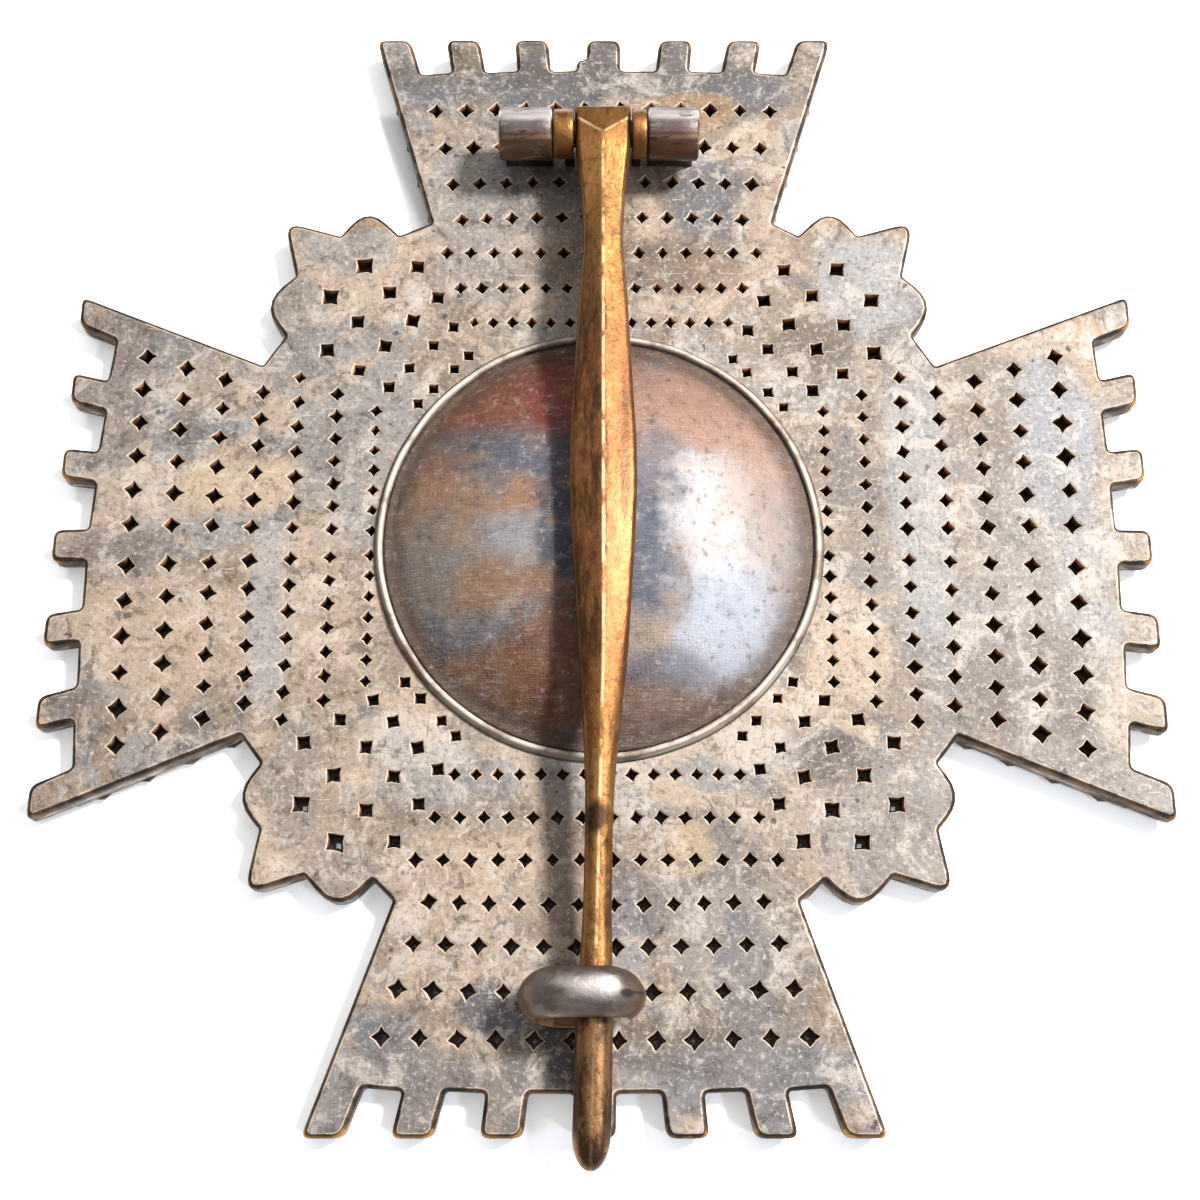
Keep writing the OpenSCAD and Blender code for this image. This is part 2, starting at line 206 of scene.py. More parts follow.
def halfAt(arm, r):
    slope = (arm["end"] - arm["neck"]) / 2 / (arm["reach"] - arm["neckAt"])
    return arm["neck"] / 2 + slope * (r - arm["neckAt"])


def leanAt(arm, r):
    return arm["lean"] * r / arm["reach"]


def shiftAt(n):
    # how far the broader middle ray moves ray n out
    return math.copysign(plate["middleExtra"] / 2, n) * (n != 0)


def tipAt(arm, share):
    return arm["reach"] - arm["slant"] * max(0.0, share)


def rootAt(arm, share):
    return tipAt(arm, share) - arm["depth"] - plate["rowBow"] * share * share


def toothEdge(arm, n, side, r):
    half = halfAt(arm, r)
    middle = half * (2 * n + shiftAt(n)) / perHalf
    if abs(n) == lastTooth:
        middle = math.copysign(half - arm["tooth"] / 2, n)
    return Vector((middle + side * arm["tooth"] / 2 + leanAt(arm, r), r))


def armOutline(k, toothed):
    # corners of arm k as (place, cut, wear)
    arm = arms[k]
    neckHalf = arm["neck"] / 2
    lean = leanAt(arm, arm["neckAt"])
    points = [(Vector((lean - neckHalf, arm["neckAt"])), plate["notchCut"], 0)]

    def corner(n, side, r, cut, wear):
        points.append((toothEdge(arm, n, side, r), cut, wear))

    for n in range(-lastTooth, lastTooth + 1):
        root, tip = rootAt(arm, n / lastTooth), tipAt(arm, n / lastTooth)
        if n > -lastTooth or not toothed:
            corner(n, -1, root, plate["rootCut"], 0)
        if toothed:
            if k == 0 and n == 0:
                # the small step beside the middle tooth
                at = points.pop()[0]
                for across, up, cut in ((-0.85, 0, 0.3), (-0.8, 0.95, 0.4), (0, 1.1, 0.3)):
                    points.append((at + Vector((across, up)), cut, 0))
            corner(n, -1, tip, plate["toothCut"], 1)
            corner(n, 1, tip, plate["toothCut"], 1)
        if n < lastTooth or not toothed:
            corner(n, 1, root, plate["rootCut"], 0)
    points.append((Vector((lean + neckHalf, arm["neckAt"])), plate["notchCut"], 0))
    return [(turned(place.x, place.y, k), cut, wear) for place, cut, wear in points]


def lobe(a, peak, b):
    # the corner whose rounding touches peak, between straight flanks from a and b
    share = plate["lobeCut"]
    apex = (peak - (a + b) * share / 4) / (1 - share / 2)
    return apex, share * min((a - apex).length, (b - apex).length), 0.4


def cornerOutline(k):
    sx = 1 if k < 2 else -1
    sy = 1 if k in (0, 3) else -1
    c = [Vector((sx * x, sy * y)) for x, y in (upperCorner if sy > 0 else lowerCorner)]
    sharp = plate["notchCut"]
    points = [(c[0], sharp, 0), lobe(*c[0:3]), (c[2], sharp, 0), (c[3], plate["tipCut"], 0.5),
              (c[4], sharp, 0), lobe(*c[4:7]), (c[6], sharp, 0)]
    return points if k in (0, 2) else points[::-1]


def starOutline(toothed):
    points = []
    for k in range(4):
        points += armOutline(k, toothed) + cornerOutline(k)
    return softened(points, 5)


def armSpot(k, row, x, r):
    # a place beside the middle of arm k, on a row that bows in towards the arm's sides
    bow = plate["rowBow"] * (x / halfAt(arms[k], r)) ** 2 * (row < plate["outerRows"])
    return turned(x + leanAt(arms[k], r), r - bow, k)


def cornerSpot(sx, sy, u, v):
    # u runs out along a corner's diagonal and v across it
    return Vector((sx * (u + v), sy * plate["stretch"] * (u - v))) / math.sqrt(2)


def cornerPitch(u):
    return plate["cornerPitch"] + plate["pitchGrowth"] * (u - plate["pitchFrom"])


def holeCentres():
    # (centre, tip-to-tip length, turn) of every pierced diamond
    holes = []
    for k, arm in enumerate(arms):
        for row, (r, pitch) in enumerate(arm["rows"]):
            base, growth = plate["armHole"]
            for i in range(plate["outerPerSide" if row < plate["outerRows"] else "innerPerSide"]):
                for side in (-1, 1):
                    x = side * (i + 0.5 + shiftAt(1)) * pitch
                    holes.append((armSpot(k, row, x, r), base + growth * pitch, 0.0))
    base, growth = plate["cornerHole"]
    for sx in (-1, 1):
        for sy in (-1, 1):
            for u, vs in cornerRows:
                for v in vs:
                    if sx < 0 < sy:
                        v -= plate["askew"]  # the net of the upper left corner is shifted
                    length = base + growth * cornerPitch(u)
                    holes.append((cornerSpot(sx, sy, u, v), length, math.pi / 4))
    return holes


def holeLoop(centre, length, turn, index):
    # a diamond with drawn-in sides, a little different each time
    points = []
    turn += plate["holeTurn"] * noise.noise(Vector((index * 0.37, 1.5, 0)))
    length *= 1 + plate["holeGrowth"] * noise.noise(Vector((index * 0.61, 7.5, 0)))
    for i in range(12):
        twist = plate["holeTwist"] * noise.noise(Vector((index * 0.83, i * 0.9, 3.1)))
        a = turn + i * math.pi / 6 + twist
        reach = length / 2 * (1.0 if i % 3 == 0 else plate["holeWaist"])
        reach *= 1 + plate["holeRagged"] * noise.noise(Vector((index * 1.7, i * 0.8, 9.3)))
        points.append(centre + Vector((math.cos(a), math.sin(a))) * reach)
    return points


def wallDown(bm, edges, place, inset, z, drop, rim):
    # extrudes rings of edges down; place keeps each vert's base, step inwards, size and rim
    fresh, ring = extruded(bm, edges)
    nextPlace = {}
    for vert in fresh:
        for edge in vert.link_edges:
            other = edge.other_vert(vert)
            if other in place:
                base, step, size, mark = place[other]
                nextPlace[vert] = place[other]
                spot = base + step * inset * size
                vert.co = (spot.x * mm, spot.y * mm, (z - drop * size) * mm)
                vert[rim] = mark
    return ring, nextPlace


def sheetWithHoles(bm, outline, holes, topZ, bottomZ, rim, edgeRound, holeRound, outset):
    # rounded back edge, walls and floor of one pierced layer
    place = {}
    steps = inwardAt([p for p, wear in outline])
    start = [p + s * (edgeRound + outset) for (p, wear), s in zip(outline, steps)]
    verts, edges = closedLoop(bm, [(p.x, p.y, topZ) for p in start])
    for vert, (base, wear), step in zip(verts, outline, steps):
        place[vert] = (base + step * outset, step, edgeRound, 1.0 + wear)
    for index, (centre, length, turn) in enumerate(holes):
        points = holeLoop(centre, length, turn, index)
        if holeRound == 0:
            points = [centre + (p - centre) * plate["frontOpening"] for p in points]
        away = [(p - centre).normalized() for p in points]
        start = [p + a * holeRound for p, a in zip(points, away)]
        verts, loop = closedLoop(bm, [(p.x, p.y, topZ) for p in start])
        edges += loop
        for vert, base, step in zip(verts, points, away):
            place[vert] = (base, step, holeRound, -1.0)
    filled = bmesh.ops.triangle_fill(bm, use_beauty=True, edges=edges, normal=(0, 0, 1))["geom"]
    under = bmesh.ops.duplicate(bm, geom=only(BMFace, filled))["vert_map"]
    for vert, (base, step, size, mark) in place.items():
        if vert in under:
            under[vert].co = (base.x * mm, base.y * mm, bottomZ * mm)
    if edgeRound > 0:
        for inset, drop in ((0.42, 0.12), (0.12, 0.42), (0.0, 1.0)):
            edges, place = wallDown(bm, edges, place, inset, topZ, drop, rim)
    wallDown(bm, edges, place, 0.0, bottomZ, 0.0, rim)


def bead(bm, centre, along, hx, hy):
    # one cut bead of the front, an eight-sided pad that narrows downwards
    deep = plate["raysZ"] + 0.06 - plate["frontZ"]
    halfSide = math.pi / plate["beadRound"]
    slot = (Matrix.Translation((centre.x * mm, centre.y * mm, (plate["frontZ"] + deep / 2) * mm))
            @ Matrix.Rotation(along, 4, "Z") @ Matrix.Diagonal((hx * mm, hy * mm, mm, 1))
            @ Matrix.Rotation(halfSide, 4, "Z"))
    wide = 1 / math.cos(halfSide) * plate["beadFill"]
    bmesh.ops.create_cone(bm, cap_ends=True, cap_tris=False, segments=plate["beadRound"], depth=deep,
                          radius1=wide * plate["beadTop"], radius2=wide, matrix=slot)


def armBeads(bm, k):
    arm = arms[k]
    rs = [rootAt(arm, 0) + 0.1] + [r for r, pitch in arm["rows"]]
    pitches = [(halfAt(arm, rs[0]) - plate["edgeMargin"]) / perHalf] + [p for r, p in arm["rows"]]
    for row in range(len(rs) - 1):
        r = (rs[row] + rs[row + 1]) / 2
        pitch = (pitches[row] + pitches[row + 1]) / 2
        hy = (rs[row] - rs[row + 1]) / 2
        if row == 0:
            hy = min(hy, plate["beadLong"])
            r = rs[1] + hy
        last = plate["outerPerSide"]
        for n in range(-last, last + 1):
            x = (n + shiftAt(n)) * pitch
            hx = pitch * (0.5 + (n == 0) * shiftAt(1))
            if abs(n) == last and row < plate["outerRows"]:
                # the outermost bead reaches to the arm's side
                inner = abs(x) - hx
                hx = (halfAt(arm, r) - 0.05 - inner) / 2
                x = math.copysign(inner + hx, n)
            spot = armSpot(k, row, x, r)
            if spot.length > plate["beadsFrom"]:
                bead(bm, spot, -k * quarter, hx, hy)


def cornerBeads(bm):
    halfLong, widest = plate["cornerBead"]
    for sx in (-1, 1):
        for sy in (-1, 1):
            for u in plate["cornerBeadRows"]:
                pitch = min(cornerPitch(u), widest)
                for n in range(-2, 3):
                    spot = cornerSpot(sx, sy, u, n * pitch)
                    bead(bm, spot, math.pi / 4 * sx * sy, halfLong, pitch / 2)


def makePlate(surface):
    bm = bmesh.new()
    rim = bm.verts.layers.float.new("rim")
    holes = holeCentres()
    sheetWithHoles(bm, starOutline(True), holes, plate["backZ"], plate["sheetZ"], rim,
                   plate["edgeRound"], plate["holeRound"], 0.0)
    for v in bm.verts:
        if v.co.z > (plate["backZ"] - 0.5) * mm and v[rim] > -0.5:
            v.co.z += plate["wobble"] * mm * noise.noise(v.co * 140)
    sheetWithHoles(bm, starOutline(False), holes, plate["sheetZ"] + 0.02, plate["raysZ"], rim,
                   0.0, 0.0, 0.04)
    for v in bm.verts:
        if v.co.z < plate["sheetZ"] * mm - 1e-6 and v[rim] == 0.0:
            v[rim] = 1.0  # the flats of the front take the tone of the edges
    beads = bmesh.new()  # made apart, because each bead takes longer to add in a full mesh
    for k in range(4):
        armBeads(beads, k)
    cornerBeads(beads)
    beadMesh = bpy.data.meshes.new("beads")
    beads.to_mesh(beadMesh)
    beads.free()
    bm.from_mesh(beadMesh)
    bpy.data.meshes.remove(beadMesh)
    merged(bm, 1e-7)
    piece = finishedPiece("starPlate", bm, "star", "star_plate", surface, False)
    for face in piece.data.polygons:
        depth = plate["backZ"] - face.center.z / mm
        face.use_smooth = 0.004 < depth < 0.44  # only the rounding of the edges


# Round pieces of the back

def spun(profile, steps, centre=(0, 0, 0), axis="Z"):
    # profile points are (distance from the axis, place along it) in mm
    bm = bmesh.new()
    verts = [bm.verts.new((r * mm, 0, h * mm)) for r, h in profile]
    edges = [bm.edges.new((verts[i], verts[i + 1])) for i in range(len(verts) - 1)]
    if profile[0][0] > 0:
        edges.append(bm.edges.new((verts[-1], verts[0])))
    bmesh.ops.spin(bm, geom=verts + edges, cent=(0, 0, 0), axis=(0, 0, 1), dvec=(0, 0, 0),
                   angle=math.tau, steps=steps, use_merge=True, use_duplicate=False)
    merged(bm)
    placed(bm, centre, axis)
    return bm


dome = {"radius": 16.58, "rise": 4.55, "foot": 0.385, "dent": 0.07, "wall": 0.8}


def makeDome(surface):
    edge = dome["radius"]
    top = seatZ + dome["rise"]
    sphere = (edge ** 2 + dome["rise"] ** 2) / (2 * dome["rise"])
    profile = [(0.0, top)]
    for i in range(1, 27):
        r = (edge - dome["foot"]) * i / 26
        profile.append((r, top - sphere + math.sqrt(sphere ** 2 - r ** 2)))
    profile += [(edge - 0.1, seatZ + 0.22), (edge, seatZ + 0.1), (edge - 0.05, seatZ),
                (edge - 0.8, seatZ), (edge - 2.5, seatZ + 0.35), (0.0, top - dome["wall"])]
    bm = spun(profile, 128)
    for v in bm.verts:
        if v.co.z > (seatZ + 0.3) * mm:
            v.co.z += dome["dent"] * mm * noise.noise(v.co * 170)
    finishedPiece("backDome", bm, "star", "back_dome", surface)


ring = {"outer": 17.08, "width": 0.42, "high": 0.66, "solder": 0.28, "dent": 0.05}


def makeRing(surface):
    mid = ring["outer"] - ring["width"] / 2
    half = ring["width"] / 2
    profile = [(mid + half + ring["solder"], seatZ), (mid + half + 0.1, seatZ + 0.12),
               (mid + half, seatZ + 0.35)]
    for a in range(0, 181, 30):
        around = math.radians(a)
        profile.append((mid + half * math.cos(around),
                        seatZ + ring["high"] - half + half * math.sin(around)))
    profile += [(mid - half, seatZ + 0.2), (mid - half, seatZ)]
    bm = spun(profile, 160)
    for v in bm.verts:
        push = 1 + 0.004 * noise.noise(v.co * 260)
        v.co.x *= push
        v.co.y *= push
        v.co.z += ring["dent"] * mm * noise.noise(v.co * 400) * (v.co.z > (seatZ + 0.3) * mm)
    finishedPiece("rimRing", bm, "star", "rim_ring", surface)


# The hinge

hinge = {
    "y": 33.1, "z": 7.0, "half": 8.0, "bore": 2.3, "web": 0.9, "webFlare": 0.12, "inset": 0.35,
    "tube": 4.2, "tubeRound": 0.22, "tubeDent": 0.05, "leftGap": -3.72, "rightGap": 3.93,
    "collar": 3.95, "collarRound": 0.14, "collarDent": 0.03, "legWide": 0.75,
    "leftCollar": (-3.67, -2.02), "rightCollar": (2.68, 3.88),
}


def rolledTube(x0, x1, outer, rounding, footX0, footX1, dent, seed):
    # a tube along X with softened ends, and the foot that holds it on the plate
    h = hinge
    out, bore = outer / 2, h["bore"] / 2
    span = x1 - x0
    profile = [(bore, 0), (out - rounding, 0), (out - rounding * 0.3, rounding * 0.3),
               (out, rounding), (out, span * 0.35), (out, span * 0.65), (out, span - rounding),
               (out - rounding * 0.3, span - rounding * 0.3), (out - rounding, span), (bore, span)]
    bm = spun(profile, 56, (x0, h["y"], h["z"]), "X")
    for v in bm.verts:
        away = Vector((0, v.co.y - h["y"] * mm, v.co.z - h["z"] * mm))
        if away.length > (bore + 0.2) * mm:
            v.co += away.normalized() * dent * mm * noise.noise(v.co * 420 + Vector((seed, 0, 0)))
    foot = bmesh.ops.create_cube(bm, size=1)["verts"]
    low = plate["backZ"] + 0.02
    bmesh.ops.scale(bm, verts=foot, vec=((footX1 - footX0) * mm, h["web"] * mm,
                                         (h["z"] - bore - low) * mm))
    bmesh.ops.translate(bm, verts=foot, vec=((footX0 + footX1) / 2 * mm, h["y"] * mm,
                                              (h["z"] - bore + low) / 2 * mm))
    for v in foot:
        if v.co.z < (low + 0.1) * mm:
            v.co.y += math.copysign(h["webFlare"] * mm, v.co.y - h["y"] * mm)
    return bm


def makeHinge(silverSurface, giltSurface):
    h = hinge
    # name, node, ends of the tube, ends of its foot and the seed of its dents
    for name, node, x0, x1, footX0, footX1, seed in (
            ("hingeTubeLeft", "hinge_tube_left", -h["half"], h["leftGap"],
             h["inset"] - h["half"], h["leftGap"] - 0.05, 3),
            ("hingeTubeRight", "hinge_tube_right", h["rightGap"], h["half"],
             h["rightGap"] + 0.05, h["half"] - h["inset"], 8)):
        bm = rolledTube(x0, x1, h["tube"], h["tubeRound"], footX0, footX1, h["tubeDent"], seed)
        finishedPiece(name, bm, "star", node, silverSurface)
    for name, node, (x0, x1), footX0, seed in (
            ("hingeCollarLeft", "hinge_collar_left", h["leftCollar"],
             h["leftCollar"][1] - h["legWide"], 14),
            ("hingeCollarRight", "hinge_collar_right", h["rightCollar"], h["rightCollar"][0], 21)):
        bm = rolledTube(x0, x1, h["collar"], h["collarRound"], footX0, footX0 + h["legWide"],
                        h["collarDent"], seed)
        finishedPiece(name, bm, "star", node, giltSurface)


# The pin

pin = {"length": 79.0, "width": 5.0, "thick": 4.1, "drift": 0.9, "driftFrom": 0.55, "bow": 2.3,
       "x": 0.33, "headHalf": 2.05, "hipFrom": -0.96, "hipTo": 1.55, "hipDrop": 0.27,
       "tipLong": 0.036, "tipRound": 2.4, "sideFull": 0.85, "sideRound": 0.14,
       "around": 44, "steps": 220, "dent": 0.05}
# share of the length, width, thickness, rise, how sharp the ridge is and how far it falls to its sides
pinSections = [
    (-0.0258, 0.90, 1.00, 0.00, 1.0, 0.18), (0.0, 0.90, 1.00, 0.00, 1.0, 0.18),
    (0.018, 0.89, 0.985, 0.03, 1.0, 0.18), (0.036, 0.84, 0.92, 0.06, 1.0, 0.20),
    (0.078, 0.70, 0.76, 0.20, 1.0, 0.27), (0.134, 0.63, 0.66, 0.40, 1.0, 0.38),
    (0.189, 0.76, 0.58, 0.60, 1.0, 0.52), (0.245, 0.84, 0.50, 0.77, 1.0, 0.62),
    (0.300, 0.93, 0.44, 0.90, 1.0, 0.68), (0.353, 1.00, 0.42, 0.98, 1.0, 0.70),
    (0.402, 0.99, 0.42, 1.00, 1.0, 0.70), (0.452, 0.91, 0.42, 0.98, 0.95, 0.70),
    (0.500, 0.82, 0.43, 0.90, 0.85, 0.68), (0.548, 0.72, 0.45, 0.77, 0.7, 0.66),
    (0.595, 0.60, 0.47, 0.60, 0.5, 0.62), (0.638, 0.49, 0.48, 0.42, 0.3, 0.6),
    (0.684, 0.41, 0.47, 0.24, 0.15, 0.6), (0.772, 0.41, 0.47, -0.08, 0.05, 0.6),
    (0.825, 0.47, 0.50, -0.25, 0.0, 0.6), (0.884, 0.52, 0.56, -0.36, 0.0, 0.6),
    (0.957, 0.53, 0.57, -0.47, 0.0, 0.6), (1.0, 0.53, 0.57, -0.52, 0.0, 0.6),
]


def pinSection(share):
    # smooth values between two rows of the table
    rows = pinSections
    i = 0
    while i < len(rows) - 2 and share > rows[i + 1][0]:
        i += 1
    before, a, b, after = rows[max(0, i - 1)], rows[i], rows[i + 1], rows[min(len(rows) - 1, i + 2)]
    span = b[0] - a[0]
    t = (share - a[0]) / span
    out = []
    for k in range(1, 6):
        slopeA = (b[k] - before[k]) / (b[0] - before[0])
        slopeB = (after[k] - a[k]) / (after[0] - a[0])
        out.append((2 * t ** 3 - 3 * t ** 2 + 1) * a[k] + (t ** 3 - 2 * t ** 2 + t) * span * slopeA
                   + (3 * t ** 2 - 2 * t ** 3) * b[k] + (t ** 3 - t ** 2) * span * slopeB)
    return out


def pinRing(bm, share):
    # one cross section, from the ridge round to the right
    wide, thick, rise, sharp, fall = pinSection(share)
    y = hinge["y"] - share * pin["length"]
    fromAxis = y - hinge["y"]
    drift = -pin["drift"] * max(0.0, share - pin["driftFrom"]) / (1 - pin["driftFrom"])
    half = pin["thick"] / 2 * thick
    across = wide * pin["width"] / 2
    below = max(half, math.sqrt(max(0.0, pin["headHalf"] ** 2 - fromAxis ** 2)))
    behind = min(1.0, max(0.0, fromAxis / pin["headHalf"]))
    if behind > 0:
        below = pin["headHalf"] * math.sqrt(1 - behind ** 2)
    # the hip at the back of the head, and the rounded edge behind it
    hip = 1 - pin["hipDrop"] * (fromAxis - pin["hipFrom"]) / (pin["hipTo"] - pin["hipFrom"])
    edge = max(0.0, fromAxis - pin["hipTo"]) / (pin["headHalf"] - pin["hipTo"])
    hip *= math.sqrt(max(0.0, 1 - min(1.0, edge) ** 2))
    left = (share - 1 + pin["tipLong"]) / pin["tipLong"]
    close = max(0.0, 1 - max(0.0, left) ** pin["tipRound"]) ** 0.5
    points = []
    for i in range(pin["around"]):
        a = math.tau * i / pin["around"]
        x = math.copysign(abs(math.sin(a)) ** pin["sideFull"], math.sin(a))
        roundZ = math.cos(a)
        if roundZ > 0:
            side = max(0.0, abs(x) - 1 + pin["sideRound"]) / pin["sideRound"]
            roof = (1 - fall * abs(x)) * math.sqrt(max(0.0, 1 - side ** 2))
            high = min(roof * sharp + roundZ * (1 - sharp), hip) * half
        else:
            high = -math.sqrt(max(0.0, 1 - x * x)) * below
        points.append((pin["x"] + drift + x * across * close, y,
                       hinge["z"] + rise * pin["bow"] + high * close))
    return closedLoop(bm, points)


def boreThrough(piece, place, radius, halfLong):
    # cuts a round hole along X and keeps the result as the piece's mesh
    bm = bmesh.new()
    bmesh.ops.create_cone(bm, cap_ends=True, segments=48, radius1=radius * mm, radius2=radius * mm,
                          depth=2 * halfLong * mm)
    placed(bm, place, "X")
    borer = meshObject("borer", bm)
    drill = borer.data
    cut = addModifier(piece, "BOOLEAN", object=borer, operation="DIFFERENCE", solver="EXACT")
    seen = piece.evaluated_get(bpy.context.evaluated_depsgraph_get())
    bored = bpy.data.meshes.new_from_object(seen)
    piece.modifiers.remove(cut)
    piece.data = bored
    bpy.data.objects.remove(borer)
    bpy.data.meshes.remove(drill)


def makePin(surface):
    bm = bmesh.new()
    first, last = pinSections[0][0], pinSections[-1][0]
    rings = []
    for i in range(pin["steps"] + 1):
        t = i / pin["steps"]
        t -= 0.15 * math.sin(math.tau * t)  # closer steps at the head and the tip
        rings.append(pinRing(bm, first + (last - first) * min(0.9998, max(0.0, t))))
    for a, b in zip(rings, rings[1:]):
        bmesh.ops.bridge_loops(bm, edges=a[1] + b[1])
    for end in (rings[0][0], rings[-1][0]):
        bmesh.ops.contextual_create(bm, geom=end)
    merged(bm)
    for v in bm.verts:
        stretched = Vector((v.co.x * 420, v.co.y * 160, v.co.z * 200))
        v.co.z += pin["dent"] * mm * noise.noise(stretched)
        v.co.x += pin["dent"] * mm * noise.noise(stretched + Vector((4, 0, 0)))
    piece = finishedPiece("fasteningPin", bm, "pin", "pin", surface)
    boreThrough(piece, (pin["x"], hinge["y"], hinge["z"]), hinge["bore"] / 2, 4)


# The catch

catch = {"x": -1.2, "y": -34.4, "high": 6.6, "wide": 9.1, "long": 3.5, "band": 1.35,
         "crown": 0.9, "mouth": 80, "flat": 1.7, "endWidth": 0.45, "leanBack": 0.12,
         "dentX": 0.05, "dentY": 0.06}


def makeCatch(surface):
    c = catch
    turnR = (c["high"] - 0.05) / 2
    run = c["wide"] - 2 * turnR
    midZ = seatZ + turnR
    bm = bmesh.new()
    # band section at the end of the bottom run: flat inside, domed outside
    half = c["long"] / 2
    crown = c["band"] * c["crown"]
    shoulder = c["band"] * (c["crown"] + 0.06)
    outline = [(half - 0.1, c["band"]), (half, shoulder)]
    for a in range(15, 166, 15):
        outline.append((half * math.cos(math.radians(a)), crown * (1 - math.sin(math.radians(a)))))
    outline += [(-half, shoulder), (0.1 - half, c["band"])]
    firstEnd, edges = closedLoop(bm, [(c["x"] + run / 2, c["y"] + y, seatZ + z) for y, z in outline])
    # the band runs along the plate to the left, turns up, runs back and turns down to its mouth
    for way, angle in ((-1, 180), (1, 180 - c["mouth"])):
        for step in range(2):
            verts, edges = extruded(bm, edges)
            bmesh.ops.translate(bm, verts=verts, vec=(way * run / 2 * mm, 0, 0))
        centre = ((c["x"] + way * run / 2) * mm, 0, midZ * mm)
        made = bmesh.ops.spin(bm, geom=verts + edges, cent=centre, axis=(0, 1, 0),
                              angle=math.radians(angle), steps=max(6, angle // 10),
                              use_merge=False, use_duplicate=False)["geom_last"]
        verts, edges = only(BMVert, made), only(BMEdge, made)
    for end in (firstEnd, verts):
        bmesh.ops.contextual_create(bm, geom=end)
    merged(bm)
    for v in bm.verts:
        # drawn in towards the ends, and leaning a little to the hinge
        out = (abs(v.co.x / mm - c["x"]) - c["flat"]) / (c["wide"] / 2 - c["flat"])
        out = min(1.0, max(0.0, out))
        keep = 1 - (1 - c["endWidth"]) * (1 - math.sqrt(1 - out * out))
        v.co.y = c["y"] * mm + (v.co.y - c["y"] * mm) * keep + (v.co.z - midZ * mm) * c["leanBack"]
        v.co.x += c["dentX"] * mm * noise.noise(v.co * 300)
        v.co.y += c["dentY"] * mm * noise.noise(v.co * 300 + Vector((5, 0, 0)))
    piece = finishedPiece("hookCatch", bm, "star", "catch", surface)
    addModifier(piece, "SUBSURF", levels=1, render_levels=1)


# Front medallion, out of sight in the photo and finished plainly

medallion = {"radius": 17.0, "frame": 1.6, "frameDeep": 0.35}


def makeMedallion(surface):
    r, w = medallion["radius"], medallion["frame"]
    z = medallion["frameDeep"]
    profile = [(0.0, z), (r - w - 0.5, z), (r - w, z - 0.05), (r - w + 0.3, 0.08), (r - w / 2, 0.0),
               (r - 0.3, 0.08), (r, 0.4), (r, plate["sheetZ"]), (0.0, plate["sheetZ"])]
    bm = spun(profile, 96)
    piece = finishedPiece("frontMedallion", bm, "star", None, surface)
    addModifier(piece, "EDGE_SPLIT", split_angle=math.radians(35))


# Materials

